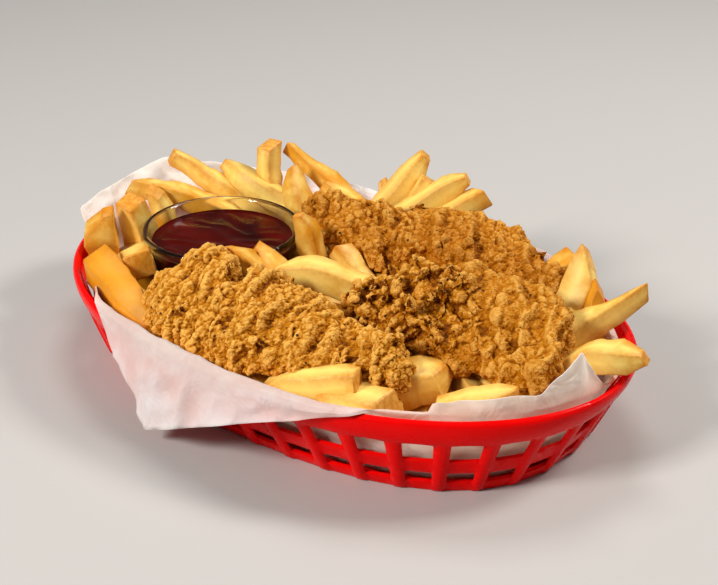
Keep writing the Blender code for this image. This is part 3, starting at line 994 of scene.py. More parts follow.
@dataclass
class PaperLiner:
    """Square sheet pressed into the basket: floor, wall, crest over the rim and free edge, with pleats and creases."""

    form: BasketForm
    columns: int = 360
    lift: float = 1.0
    thickness: float = 0.14
    pleat_depth: float = 0.9
    pleat_count: int = 21
    flat: Pair = (254.0, 273.0)
    wall_top: float = 33.0          # where the sheet leaves the wall for the crest
    steps: Sequence[int] = (4, 5, 14, 3, 4, 8, 9)   # rows from one guide point to the next
    bulges: Sequence[Pair] = ((0.2, 2.4), (0.6, 1.4))   # share of the way down a hanging side, and push out
    crease_scales: Triple = (24.0, 10.0, 17.0)      # of wide, small and drawn creases
    crease_heights: Triple = (4.5, 2.2, 3.5)
    crease_middle: float = 0.18     # what centres them on zero
    # strength of the painted red light and shade
    held_crease: float = 0.16       # share of the creases that is left where the sheet is held
    touch_tones: Pair = (0.78, 0.05)        # close to the plastic, and all over
    # warm tint inside, painted warm bounced light low at the right, and painted shade at the left end
    warm_tones: Triple = (0.38, 0.16, 0.45)     # inside, besides low at the right, and at the left end
    # Each station: angle round the rim, then distance out from the rim's outer edge and height of crest and edge
    stations: list[tuple[float, float, float, float, float]] = field(default_factory=lambda: [
        (-176, -4.0, 37.5, 7.0, 46.0),
        (-168, -4.0, 37.5, 8.0, 43.0),
        (-161, -5.0, 37.0, -3.0, 40.0),
        (-152, -8.0, 31.0, -9.5, 33.0),
        (-136, -8.0, 31.0, -9.5, 33.5),
        (-127, -6.0, 36.5, -6.0, 38.5),
        (-121, -4.5, 38.6, -1.0, 39.0),
        (-107, -6.0, 39.4, 5.0, 25.0),
        (-98, -6.5, 39.6, 10.0, 6.0),
        (-83, -6.0, 39.4, 8.0, 21.5),
        (-75, -5.0, 39.0, 6.0, 28.5),
        (-68, -4.0, 38.6, 4.5, 33.0),
        (-59, -3.0, 38.4, 1.5, 37.5),
        (-55, -4.0, 38.0, -6.0, 37.3),
        (-46, -5.0, 37.7, -8.0, 36.6),
        (-44.6, -5.0, 37.6, -6.5, 42.2),
        (-43, -5.0, 37.6, -8.0, 41.0),
        (-40, -5.0, 37.5, -6.5, 43.0),
        (-32, -5.0, 37.5, -6.5, 44.0),
        (-23, -5.0, 37.5, -6.5, 43.5),
        (-16, -5.0, 37.5, -7.0, 49.5),
        (-9, -5.0, 37.5, -8.0, 55.5),
        (-3, -6.5, 36.5, -6.5, 42.0),
        (1, -6.5, 35.0, -7.0, 36.4),
        (10, -6.5, 33.0, -7.5, 34.0),
        (24, -6.5, 32.5, -8.0, 33.5),
        (42, -6.0, 36.0, -8.0, 37.5),
        (56, -4.0, 38.0, 1.0, 41.0),
        (72, -3.0, 38.6, 5.0, 34.0),
        (86, -2.0, 41.0, 10.0, 14.0),
        (98, -2.0, 40.5, 7.0, 27.0),
        (112, -4.0, 38.4, 3.0, 43.0),
        (128, -4.0, 38.0, 6.0, 44.5),
        (145, -4.0, 37.5, 8.0, 48.0),
        (162, -4.0, 37.5, 8.0, 54.5),
        (169, -4.0, 37.5, 8.0, 51.0),
    ])

    def station(self, degrees: float) -> list[float]:
        """Crest and edge of the sheet at an angle, between the listed stations.

        Args:
            degrees: Angle round the rim.

        Returns:
            Crest's outset and height, then the free edge's.
        """
        turn = (degrees + 180.0) % 360.0 - 180.0
        for i, station in enumerate(self.stations):
            following = self.stations[(i + 1) % len(self.stations)]
            start = station[0]
            end = following[0] + (360.0 if following[0] < start else 0.0)
            here = turn + (360.0 if turn < start and end > 180.0 else 0.0)
            if start <= here <= end:
                part = (here - start) / (end - start)
                return [a + (b - a) * part for a, b in zip(station[1:], following[1:])]
        return list(self.stations[0][1:])

    def straight_edge(self, angle: float) -> Vector:
        """Point of the free edge, which runs straight from one station to the next.

        Args:
            angle: Parameter angle in radians.

        Returns:
            The point.
        """
        turn = (math.degrees(angle) + 180.0) % 360.0 - 180.0
        ahead = next((i for i, station in enumerate(self.stations) if station[0] > turn), 0)
        ends = []
        for station in (self.stations[ahead - 1], self.stations[ahead]):
            ends.append((station[0], self.form.rim_point(math.radians(station[0]), station[3], station[4])))
        (start, a), (end, b) = ends
        part = ((turn - start) % 360.0) / ((end - start) % 360.0)
        return a.lerp(b, part)

    def column(self, angle: float) -> list[Vector]:
        """Guide points of the sheet from the floor's middle out to its free edge.

        Args:
            angle: Parameter angle in radians.

        Returns:
            The points.
        """
        crest_out, crest_height, edge_out, edge_height = self.station(math.degrees(angle))
        inset = -self.form.wall - self.lift
        pleat = math.sin(angle * self.pleat_count) * self.pleat_depth
        floor = self.form.floor + self.lift
        toe = self.form.wall_point(angle, floor, inset - 1.0)
        points = [Vector((0.0, 0.0, floor)), toe * 0.5 + Vector((0, 0, floor / 2)), toe]
        last = min(self.wall_top, crest_height - 3.0)
        points.append(self.form.wall_point(angle, last, inset - 0.9 + pleat * 0.3))
        points.append(self.form.rim_point(angle, crest_out, crest_height))
        hangs = min(max((edge_out + 2.0) / 3.0, 0.0), 1.0) if edge_height < crest_height else 0.0
        for part, push in self.bulges:
            out = crest_out + (edge_out - crest_out) * part + hangs * push + pleat * part
            height = crest_height + (edge_height - crest_height) * part * (1.0 - 0.8 * hangs * (1.0 - part))
            points.append(self.form.rim_point(angle, out, height))
        points.append(self.straight_edge(angle))
        return points

    def rows_between(self, points: list[Vector]) -> list[Vector]:
        """Fill in the rows between guide points.

        Args:
            points: The guide points.

        Returns:
            A point for each row.
        """
        filled = []
        for (a, b), steps in zip(zip(points, points[1:]), self.steps):
            filled.extend(a.lerp(b, k / steps) for k in range(steps))
        return filled + [points[-1]]

    def crease(self, spot: Vector) -> float:
        """Sharp-valleyed relief of a crumpled sheet, centred on zero.

        Args:
            spot: The place.

        Returns:
            Its height.
        """
        wide, small, drawn = self.crease_scales
        girth = math.atan2(spot.y, spot.x) * 100.0
        places = (spot / wide + Vector((3.1, 0.0, 0.0)), spot / small + Vector((0.0, 7.7, 0.0)),
                  Vector((girth / drawn, spot.length / 60.0, 1.3)))
        wide, small, drawn = (abs(noise.noise(place)) - self.crease_middle for place in places)
        return wide * self.crease_heights[0] + small * self.crease_heights[1] + drawn * self.crease_heights[2]

    def build(self) -> bpy.types.Object:
        """Model the sheet.

        Returns:
            The finished object.
        """
        count = self.columns
        rows = sum(self.steps) + 1
        deselect()
        bpy.ops.mesh.primitive_grid_add(x_subdivisions=count, y_subdivisions=rows - 1, size=2.0)
        sheet = bpy.context.active_object
        grid = [self.rows_between(self.column(self.form.angle_at(k / count))) for k in range(count)]
        move_points(sheet, lambda p: grid[round((p.x + 1) / 2 * count) % count][round((p.y + 1) / 2 * (rows - 1))])
        clean_normals(sheet, 0.005)
        modify(sheet, "SMOOTH", factor=0.5, iterations=1)
        self.crumple(sheet)
        modify(sheet, "SOLIDIFY", thickness=self.thickness, offset=0.0)
        self.mark_touch(sheet)
        sheet.name = "paper_liner"
        finish_piece(sheet, WAXED_PAPER, "liner")
        return sheet

    def crumple(self, sheet: bpy.types.Object) -> None:
        """Add creases, kept small where the sheet runs close along the wall and the rim.

        Args:
            sheet: The smooth sheet.
        """
        top = self.form.height

        def crumpled(vertex: bpy.types.MeshVertex) -> Vector:
            """How far the creases move a vertex."""
            spot = vertex.co
            near_rim = 1.0 - smoothstep(0.0, 6.0, abs(spot.z - top - 1.0))
            free = smoothstep(top - 1.0, top + 4.0, spot.z) + smoothstep(1.0, 1.04, self.reach(spot))
            size = self.held_crease + (1.0 - self.held_crease) * min(1.0, free)
            return vertex.normal * self.crease(spot) * size * (1.0 - 0.75 * near_rim)

        shift_points(sheet, crumpled)

    def reach(self, spot: Vector) -> float:
        """How far out a place is, in shares of the way to the rim's outer edge."""
        half_length, half_width = self.form.rim_half
        return math.hypot(spot.x / half_length, spot.y / half_width)

    def mark_touch(self, sheet: bpy.types.Object) -> None:
        """Mark where painted light goes on the sheet: painted red light and shade where it lies close to the red
        plastic, and a warm tint inside with painted warm bounced light low at the right and painted shade at the left
        end.

        Args:
            sheet: The finished sheet.
        """
        top = self.form.height
        all_inside, painted_bounce_right, painted_shade_left = self.warm_tones
        touch, warmth = [], []
        for vertex in sheet.data.vertices:
            spot = vertex.co
            reach = self.reach(spot)
            out = (reach - 1.0) / max(reach, 0.1) * spot.xy.length
            near = 1.0 - smoothstep(2.0, 11.0, out) if out > 0.0 else smoothstep(-15.0, -3.0, out)
            height = smoothstep(top + 9.0, top, spot.z)
            # painted red light and shade, strongest close to the plastic, fading above the rim
            touch.append(height * min(1.0, self.touch_tones[0] * near + self.touch_tones[1]))
            inside = smoothstep(2.0, -4.0, out)
            # painted warm light bounced from below, low at the right
            low = smoothstep(0.0, 60.0, spot.x) * smoothstep(14.0, 2.0, spot.z - top)
            # painted shade at the left end, which faces away from the light
            left = smoothstep(-95.0, -120.0, spot.x - spot.y * 0.3)
            warmth.append(min(1.0, inside * (all_inside + painted_bounce_right * low) + painted_shade_left * left))
        write_attribute(sheet, "touch", touch)
        write_attribute(sheet, "warmth", warmth)


# Dish and dip

@dataclass
class DipDish:
    """Small round glass dish with a thick rounded rim, turned from its outline."""

    centre: Pair = (-64.5, -3.0)
    steps: int = 96
    outside: Sequence[Pair] = ((20.0, 0.0), (21.6, 0.5), (23.0, 1.8), (25.2, 7.6), (27.4, 14.0), (29.6, 21.8),
                               (31.6, 30.0), (33.1, 36.6), (34.0, 41.6))
    rim: Sequence[Pair] = ((34.7, 42.9), (35.0, 44.0), (34.7, 45.0), (33.9, 45.4), (33.0, 45.0), (32.4, 44.0))
    inside: Sequence[Pair] = ((31.4, 41.0), (30.2, 37.2), (28.6, 30.6), (26.6, 22.4), (24.4, 14.4), (22.4, 8.4),
                              (20.4, 5.4), (17.4, 4.2))
    sole: Sequence[Pair] = ((0.0, 0.6), (18.0, 0.6), (19.0, 0.0))
    well: float = 4.0           # height of the inner floor's middle

    @property
    def foot(self) -> float:
        """Height of the underside, as packed."""
        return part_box("dip_dish")[0].z / MM

    def turn(self, name: str, outline: Sequence[Pair]) -> bpy.types.Object:
        """Turn an outline of radius and height into a closed solid.

        Args:
            name: The object's name.
            outline: From a point on the axis to another one.

        Returns:
            The object.
        """
        deselect()
        bpy.ops.mesh.primitive_circle_add(vertices=len(outline), radius=1.0)
        item = bpy.context.active_object
        for vertex, (radius, height) in zip(item.data.vertices, outline):
            vertex.co = (radius, 0.0, height)
        with edit_mode(item):
            ends = {0, len(outline) - 1}
            select_parts(item, "EDGE", lambda e: {v.index for v in e.verts} == ends)
            bpy.ops.mesh.delete(type="EDGE")
            bpy.ops.mesh.select_all(action="SELECT")
            bpy.ops.mesh.spin(steps=self.steps, angle=math.tau, center=(0, 0, 0), axis=(0, 0, 1))
        clean_normals(item)
        item.name = name
        item.data.transform(Matrix.Translation((*self.centre, self.foot)))
        return item

    def build(self) -> bpy.types.Object:
        """Model the dish.

        Returns:
            The finished object.
        """
        outline = [*self.sole, *self.outside, *self.rim, *self.inside, (0.0, self.well)]
        dish = self.turn("glass_dish", outline)
        finish_piece(dish, CLEAR_GLASS, "dip_dish")
        return dish


@dataclass
class DarkDip:
    """Dip that fills the dish to its level and reaches just into the glass, with swirls on top."""

    dish: DipDish
    level: float = 39.2
    bite: float = 0.18          # how far it reaches into the glass
    climb: float = 0.7          # of the dip up the wall
    ripple: float = 0.45
    rings: int = 26

    def build(self) -> bpy.types.Object:
        """Model the dip.

        Returns:
            The finished object.
        """
        below = [(r + self.bite, h) for r, h in reversed(self.dish.inside) if h < self.level - 1.0]
        edge = self.radius_at(self.level + self.climb) + self.bite
        well = self.dish.well
        outline = [(0.0, well - self.bite), (below[0][0] - 1.0, well + 0.1), *below[1:]]
        outline += [(edge, self.level + self.climb)]
        outline += [(edge - 0.9, self.level + 0.15), (edge - 2.0, self.level)]
        outline += [((edge - 2.0) * (self.rings - k) / self.rings, self.level) for k in range(1, self.rings + 1)]
        dip = self.dish.turn("dark_dip", outline)
        centre = Vector((*self.dish.centre, 0.0))
        surface = self.dish.foot + self.level - 0.05
        for vertex in dip.data.vertices:
            away = (vertex.co.xy - centre.xy).length
            if vertex.co.z > surface and away < edge - 1.0:
                vertex.co.z += self.swirl(vertex.co, centre) * smoothstep(edge - 1.0, edge - 7.0, away)
        dip.data.update()
        finish_piece(dip, DARK_SAUCE, "dip_sauce")
        return dip

    def radius_at(self, height: float) -> float:
        """Inner radius of the dish.

        Args:
            height: Height over the dish's foot.

        Returns:
            The radius there.
        """
        wall = sorted((h, r) for r, h in self.dish.inside)
        for (low, low_radius), (high, high_radius) in zip(wall, wall[1:]):
            if low <= height <= high:
                return low_radius + (high_radius - low_radius) * (height - low) / (high - low)
        return wall[-1][1]

    def swirl(self, spot: Vector, centre: Vector) -> float:
        """Height of the folds that the spooned dip keeps.

        Args:
            spot: The place.
            centre: The dish's middle.

        Returns:
            The height over the level.
        """
        local = spot - centre
        bent = local + noise.noise_vector(local / 15.0) * 7.0
        folds = 1.0 - abs(noise.noise(Vector((bent.x / 19.0, bent.y / 9.0, 2.0)))) * 2.4
        return self.ripple * folds - self.ripple * 0.4


# Tenders

@dataclass(frozen=True)
class Lobe:
    """Swelling of a tender round a place; with a negative height, a hollow."""

    place: Triple
    reach: float
    height: float

    def push(self, spot: Vector) -> float:
        """How far it moves the skin outwards at a place."""
        return self.height * smoothstep(self.reach, self.reach * 0.35, (spot - Vector(self.place)).length)


@dataclass(frozen=True)
class Furrow:
    """Groove of a tender along a line of places; with negative depths, a ridge."""

    course: tuple[Triple, ...]
    width: float
    depths: Pair                # at its start and at its end

    def push(self, spot: Vector) -> float:
        """How far it moves the skin outwards, which is less than zero in a groove.

        Args:
            spot: A place on the skin.

        Returns:
            The move along the skin's normal.
        """
        nearest, along = 1e9, 0.0
        legs = list(zip(self.course, self.course[1:]))
        for index, (start, end) in enumerate(legs):
            a, b = Vector(start), Vector(end)
            part = min(max(intersect_point_line(spot, a, b)[1], 0.0), 1.0)
            away = (spot - a.lerp(b, part)).length
            if away < nearest:
                nearest, along = away, (index + part) / len(legs)
        depth = self.depths[0] + (self.depths[1] - self.depths[0]) * along
        return -depth * math.exp(-(nearest / self.width) ** 2)


@dataclass
class Tender:
    """One breaded tender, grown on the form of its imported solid: lumps fused on, then crags and grains raised."""

    node: str
    ridge_heading: float        # degrees from +X towards +Y of the lines that the ridges follow
    ridge_height: float = 1.6
    ridge_gap: float = 5.6
    clump_height: float = 1.2
    clump_size: float = 4.6
    lumps: int = 70
    lump_size: Pair = (1.6, 3.4)
    lump_rise: float = 0.15
    rough_centre: Triple = (0.0, 0.0, 0.0)
    rough_reach: float = 0.0    # how far from there the crust is at its craggiest; 0 leaves it alike all over
    even_rough: float = 0.4     # how craggy a crust is that is alike all over
    features: tuple[Lobe | Furrow, ...] = ()
    bites: tuple[tuple[Triple, float], ...] = ()    # places and radii of what is missing
    satellites: int = 3         # small grains round each lump
    grain: float = 1.0          # strength of the fine grains
    # how toasted the crust is, partly painted shade: highest on the back tender, whose front faces away from the light
    toasted: float = 0.2
    sunk: float = 1.0           # the form is drawn in by this before the crust is raised
    seed: int = 1
    voxel: float = 0.46
    patch_scale: float = 9.0    # of the clusters that the crumbs lie in
    tries: int = 400            # for each crumb
    bend: Pair = (13.0, 4.0)    # scale and size of the bends in the ridges
    grain_bend: Pair = (1.9, 0.95)
    grain_stretch: float = 1.9  # along the ridges
    grain_size: float = 1.75
    fine_sizes: Pair = (0.8, 1.1)
    fine_height: float = 0.26
    relief_rounds: tuple[int, int] = (6, 60)    # smoothing rounds for the near and the wide relief
    # painted shade and highlight: middle tone, and how much lighter each millimetre of relief makes it
    relief_tones: Triple = (0.50, 0.75, 0.34)   # middle tone, and what a millimetre of each relief adds
    # painted shade on the craggiest crust, which lies in the shadow of the tender beside it
    rough_dark: float = 0.10    # how much darker the craggiest crust is

    def build(self) -> bpy.types.Object:
        """Model the tender.

        Returns:
            The finished object.
        """
        body = self.copy_of_solid()
        lumps = self.scatter_lumps(body)
        body = join([body, lumps], f"{self.node}_crust")
        modify(body, "REMESH", mode="VOXEL", voxel_size=self.voxel, adaptivity=0.0)
        self.raise_crust(body)
        finish_piece(body, BREADING, self.node)
        return body

    def copy_of_solid(self) -> bpy.types.Object:
        """Copy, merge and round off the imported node's mesh, and give it its lobes, furrows and bites.

        Returns:
            The form, in millimetres.
        """
        body = copy_of(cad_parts[self.node], f"{self.node}_crust")
        body.data.transform(Matrix.Scale(1.0 / MM, 4))
        clean_normals(body)
        modify(body, "SUBSURF", levels=2, render_levels=2)
        shift_points(body, lambda v: v.normal * sum(feature.push(v.co) for feature in self.features))
        for place, radius in self.bites:
            self.bite(body, place, radius)
        return body

    @staticmethod
    def bite(body: bpy.types.Object, place: Triple, radius: float) -> None:
        """Take a round piece out of the form.

        Args:
            body: The form.
            place: The middle of what is missing.
            radius: Its radius.
        """
        deselect()
        bpy.ops.mesh.primitive_ico_sphere_add(subdivisions=3, radius=radius, location=place)
        cutter = bpy.context.active_object
        modify(body, "BOOLEAN", operation="DIFFERENCE", object=cutter)
        bpy.data.objects.remove(cutter)

    def roughness_at(self, spot: Vector) -> float:
        """How craggy the crust is.

        Args:
            spot: A place on it.

        Returns:
            0 where it is even to 1 where it is at its craggiest.
        """
        if self.rough_reach <= 0.0:
            return self.even_rough
        away = (spot - Vector(self.rough_centre)).length
        return smoothstep(self.rough_reach, self.rough_reach * 0.5, away)

    def scatter_lumps(self, body: bpy.types.Object) -> bpy.types.Object:
        """Set crumbs of batter on the upper side, in clusters.

        Args:
            body: The rounded form.

        Returns:
            All crumbs, joined.
        """
        draw = random.Random(self.seed)
        deselect()
        bpy.ops.mesh.primitive_ico_sphere_add(subdivisions=2, radius=1.0)
        crumb = bpy.context.active_object
        move_points(crumb, lambda p: p * (1.0 + 0.45 * noise.noise(p * 1.4 + Vector((self.seed, 0, 0)))))
        faces = [f for f in body.data.polygons if f.normal.z > -0.15]
        copies = []
        wanted = self.lumps * (1 + self.satellites)
        for _ in range(self.lumps * self.tries):    # bounded, in case no face is fit
            if len(copies) >= wanted:
                break
            face = draw.choice(faces)
            if self.rough_reach > 0.0 and draw.random() > self.roughness_at(face.center) + 0.08:
                continue
            if noise.noise(face.center / self.patch_scale) < -0.05:
                continue
            if min((feature.push(face.center) for feature in self.features), default=0.0) < -0.8:
                continue
            if any((face.center - Vector(place)).length < radius + 2.5 for place, radius in self.bites):
                continue
            size = draw.uniform(*self.lump_size) * (0.7 + 0.3 * draw.random())
            centre = face.center + face.normal * size * self.lump_rise
            copies.append(self.place_crumb(crumb, centre, face.normal, size, draw))
            for _ in range(self.satellites):
                side = Vector((draw.uniform(-1, 1), draw.uniform(-1, 1), draw.uniform(-0.2, 1.2))).normalized()
                grain = size * draw.uniform(0.28, 0.5)
                copies.append(self.place_crumb(crumb, centre + side * size * 0.85, side, grain, draw))
        bpy.data.objects.remove(crumb)
        return join(copies, "crumbs")

    @staticmethod
    def place_crumb(crumb: bpy.types.Object, centre: Vector, up: Vector, size: float,
                    draw: random.Random) -> bpy.types.Object:
        """Copy the crumb to a place.

        Args:
            crumb: The model crumb, of radius 1.
            centre: Where it goes.
            up: The way that its flatter side faces.
            size: Its radius.
            draw: The seeded source of its proportions.

        Returns:
            The copy.
        """
        shape = Matrix.Diagonal((draw.uniform(0.75, 1.35), draw.uniform(0.75, 1.2), draw.uniform(0.6, 0.95), 1.0))
        turn = up.to_track_quat("Z", "X").to_matrix().to_4x4()
        spin = Matrix.Rotation(draw.uniform(0.0, math.tau), 4, "Z")
        copy = copy_of(crumb, "crumb")
        copy.data.transform(Matrix.Translation(centre) @ turn @ spin @ shape @ Matrix.Scale(size, 4))
        return copy

    def along_across(self, spot: Vector) -> Pair:
        """Turn a place to the lines that the ridges follow.

        Args:
            spot: The place.

        Returns:
            How far it lies along those lines and across them.
        """
        heading = math.radians(self.ridge_heading)
        along = spot.x * math.cos(heading) + spot.y * math.sin(heading)
        return along, -spot.x * math.sin(heading) + spot.y * math.cos(heading)

    def crag(self, spot: Vector) -> float:
        """Coarse relief: long ridges across the tender, and clumps with crevices between them.

        Args:
            spot: A place on the skin.

        Returns:
            The height in millimetres.
        """
        along, across = self.along_across(spot)
        warp = noise.noise_vector(spot / self.bend[0]) * self.bend[1]
        gap = self.ridge_gap
        wide = noise.noise(Vector(((along + warp.x) / (gap * 3.2), (across + warp.y) / gap, spot.z / (gap * 3.0))))
        slim = noise.noise(Vector(((along + warp.y) / (gap * 1.7), (across + warp.x) / (gap * 0.5), spot.z / gap)))
        ridge = math.tanh(wide * 4.5) + 0.45 * math.tanh(slim * 4.0)
        near, following = noise.voronoi(spot / self.clump_size + warp * 0.08)[0][:2]
        dome = 0.5 - min(1.0, near * 1.2) ** 2
        crevice = min(1.0, (following - near) * 2.6) - 0.7
        rough = self.roughness_at(spot)
        patch = smoothstep(-0.3, 0.25, noise.noise(spot / self.bend[0] + Vector((5.0, 1.0, 0.0))))
        clump = (dome + crevice) * self.clump_height * (0.25 + 0.35 * patch + 0.9 * rough)
        return self.ridge_height * ridge * (1.0 - 0.5 * rough) + clump

    def granule(self, spot: Vector) -> float:
        """Fine relief: rounded grains of two sizes, drawn out a little along the ridges.

        Args:
            spot: A place on the skin.

        Returns:
            The height in millimetres.
        """
        along, across = self.along_across(spot)
        scale, bend = self.grain_bend
        bent = Vector((along / self.grain_stretch, across, spot.z)) + noise.noise_vector(spot / scale) * bend
        near, following = noise.voronoi(bent / self.grain_size)[0][:2]
        grain = 0.45 - min(1.0, near * 1.15) ** 2 + 0.35 * (min(1.0, (following - near) * 3.0) - 0.5)
        small, middling = self.fine_sizes
        dome = 0.5 - min(1.0, noise.voronoi(bent / middling)[0][0] * 1.3) ** 2
        fine = 1.5 * noise.noise(bent / small) + 0.5 * dome
        rough = smoothstep(-0.45, 0.15, noise.noise(spot / 11.0)) * 0.55 + 0.45 * self.roughness_at(spot)
        return (grain * (0.12 + 0.55 * rough) + fine * self.fine_height) * self.grain

    @staticmethod
    def relief(body: bpy.types.Object, rounds: int) -> list[float]:
        """Measure how far each point stands out from the skin round it, in millimetres.

        Args:
            body: The crust.
            rounds: Smoothing rounds of the copy that it is measured from, more for a wider neighbourhood.

        Returns:
            One height for each vertex, below zero in crevices.
        """
        even = copy_of(body, "even_skin")
        modify(even, "SMOOTH", factor=0.9, iterations=rounds)
        heights = [(v.co - w.co).dot(v.normal) for v, w in zip(body.data.vertices, even.data.vertices)]
        bpy.data.objects.remove(even)
        return heights

    def raise_crust(self, body: bpy.types.Object) -> None:
        """Raise crags, then grains on them, and store how far each place stands out, for painted shade in the hollows
        and painted highlight on what stands out.

        Args:
            body: The fused form.
        """
        shift_points(body, lambda v: v.normal * (self.crag(v.co) - self.sunk))
        shift_points(body, lambda v: v.normal * self.granule(v.co))
        near, wide = (self.relief(body, rounds) for rounds in self.relief_rounds)
        vertices = body.data.vertices
        # painted shade on the craggiest crust
        dark = [self.rough_dark * self.roughness_at(v.co) if self.rough_reach > 0.0 else 0.0 for v in vertices]
        tone, near_shade, wide_shade = self.relief_tones
        # painted shade, darker in hollows and lighter where the crust stands out
        tones = [tone + near_shade * n + wide_shade * w - d for n, w, d in zip(near, wide, dark)]
        write_attribute(body, "toasted", [self.toasted] * len(vertices))
        write_attribute(body, "crag", tones)


# Fries

class Cut(Enum):
    """How the showing end of a fry is cut: width left at the tip, slant, share that tapers, and height's taper."""

    SQUARE = (0.94, 0.0, 0.12, 0.3)
    SLANT = (0.80, 0.55, 0.30, 0.3)
    POINT = (0.34, 0.75, 0.55, 0.35)
    ROUND = (0.42, 0.15, 0.26, 0.9)
    WEDGE = (0.62, 0.85, 0.24, 0.3)


@dataclass(frozen=True)
class Fry:
    """One fry: its buried and its showing end, width, bow, cut, roll about its length and how golden it is."""

    start: Triple
    end: Triple
    width: float
    bow: float = 0.0
    cut: Cut = Cut.SQUARE
    roll: float = 0.0
    tone: float = 0.5
    thick: float = 0.86


@dataclass
class FryHeap:
    """Heap of fries: a plain core, loose fries laid over it by a seeded rule, and the placed fries that show."""

    form: BasketForm
    dish: DipDish
    loose: int = 110
    seed: int = 7
    core_edge: float = 17.0
    core_crown: float = 24.0
    blank_length: float = 8.0       # of the model fry, in its own widths
    twist: float = 34.0             # degrees from end to end, at most
    swell: float = 0.22             # in shares of the width, as are the two below
    tail_thin: float = 0.12
    wave: float = 0.10
    skins: Sequence[Pair] = ((5.0, 0.50), (2.2, 0.16))   # scale and height of the skin's two bumps
    quiet: tuple[Triple, ...] = ((76, -43, 33), (79, -36, 31), (111, -10, 37))  # no loose fry shows there
    quiet_reach: float = 12.0
    tries: int = 6000               # for all loose fries together
    loose_width: Pair = (9.5, 12.5)
    loose_length: Pair = (34.0, 66.0)
    loose_height: Pair = (17.0, 30.0)
    loose_half: Pair = (118, 76)    # half size of the area that their middles are drawn in
    paper_room: float = 3.2         # kept from the basket's wall
    dish_room: float = 34.5         # kept from the dish's middle
    dish_seat: Pair = (37.0, 12.0)  # radius and height of the hollow that the dish stands in
    loose_cuts: Sequence[Cut] = (Cut.SQUARE, Cut.SLANT, Cut.POINT, Cut.ROUND)
    placed: list[Fry] = field(default_factory=lambda: [
        Fry((-113, -27, 22), (-109, -35, 54), 13, 0, Cut.ROUND, 20, 0.65),
        Fry((-104, -13, 20), (-105, -19, 56), 12, 0, Cut.SQUARE, 12, 0.35),
        Fry((-112, 9, 20), (-111, 3, 53), 9, 0, Cut.SLANT, 10, 0.45),
        Fry((-78, 38, 26), (-130, 5, 50), 11, 3, Cut.SLANT, 0, 0.5),
        Fry((-74, 50, 26), (-127, 24, 57), 12, 2, Cut.POINT, 0, 0.35),
        Fry((-50, 55, 26), (-108, 41, 54), 12, 2, Cut.ROUND, 10, 0.2),
        Fry((-84, 52, 36), (-88, 55, 65), 9.5, 0, Cut.SQUARE, 35, 0.3),
        Fry((-46, 43, 18), (-70, 48, 60), 11, 0, Cut.ROUND, 20, 0.5),
        Fry((-30, 68, 26), (-85, 67, 63), 10, 2, Cut.POINT, 0, 0.5),
        Fry((-16, 56, 26), (-58, 64, 49), 11, 2, Cut.SLANT, 0, 0.5),
        Fry((-26, 20, 22), (-26, 8, 62), 9.5, 0, Cut.ROUND, 15, 0.6),
        Fry((10, 14, 24), (-11, 15, 47), 9.5, 0, Cut.SQUARE, 0, 0.3),
        Fry((-8, -23, 30), (-37, -27, 56), 11, 1, Cut.ROUND, 10, 0.55),
        Fry((-3, -13, 29), (-33, -18, 51.5), 13, 1, Cut.ROUND, 0, 0.6),
        Fry((34, 4, 34), (-19, -20, 49), 13, 5, Cut.ROUND, 0, 0.15),
        Fry((-28, 69, 24), (-40, 76, 54), 9, 0, Cut.POINT, 0, 0.4),
        Fry((-41, 58, 24), (-17.5, 86, 66), 12.5, 0, Cut.ROUND, 0, 0.1),
        Fry((-30, 66, 22), (-11, 80, 61), 9, 0, Cut.SLANT, 0, 0.4),
        Fry((-32, 52, 30), (7, 85, 64), 12, 0, Cut.ROUND, 0, 0.1),
        Fry((-8, 62, 38), (17, 84, 58), 11, 0, Cut.SLANT, 0, 0.35),
        Fry((63, 47, 32), (76, 66, 50), 12, 0, Cut.SQUARE, 0, 0.8),
        Fry((84, 30, 18), (90, 56, 60), 13.5, 0, Cut.WEDGE, 190, 0.2),
        Fry((90, 28, 20), (99, 48, 50), 9, 0, Cut.SLANT, 0, 0.75),
        Fry((84, 6, 24), (113, 51, 52), 12.5, 0, Cut.POINT, 0, 0.30),
        Fry((106, 5, 32), (138, 12, 45), 12, 3, Cut.ROUND, 0, 0.35),
        Fry((-40, -68, 28), (-94, -50, 40), 14, 1, Cut.SQUARE, 0, 1.0),
        Fry((-106, -18, 29), (-76, -42, 41), 14, 0, Cut.SQUARE, 20, 0.3),
        Fry((22, -68, 27), (58, -58, 39), 12, 1, Cut.SQUARE, 0, 0.12),
        Fry((46, -62, 28), (74, -60, 34), 13, 0, Cut.SQUARE, 0, 0.12),
        Fry((56, -47, 25), (76, -23, 35), 16, 0, Cut.ROUND, 0, 0.5),
        Fry((82, -41, 27), (108, -27, 36), 12.5, 0, Cut.ROUND, 0, 0.25),
        Fry((60, 60, 29), (103, 37, 34), 11, 0, Cut.SQUARE, 0, 0.6),
        Fry((94, 34, 26), (112, 6, 27), 12, 0, Cut.SQUARE, 0, 0.5),
        Fry((88, -34, 20), (103, -4, 23), 11, 0, Cut.SLANT, 0, 0.5),
        Fry((-22, 24, 28), (32, 18, 34), 12, 0, Cut.SQUARE, 0, 0.6),
        Fry((-24, -2, 27), (14, 26, 34), 10, 0, Cut.SLANT, 0, 0.6),
    ])

    def build(self) -> bpy.types.Object:
        """Model the heap.

        Returns:
            The object that holds all fries.
        """
        blank = self.model_blank()
        draw = random.Random(self.seed)
        fries = [self.make_fry(blank, fry, i) for i, fry in enumerate(self.placed + self.loose_fries(draw))]
        bpy.data.objects.remove(blank)
        heap = join(fries, "fries_heap")
        finish_piece(heap, FRIED_POTATO, "fries", 60.0)
        core = self.make_core()
        finish_piece(core, FRIED_POTATO, "fries", 60.0)
        return heap

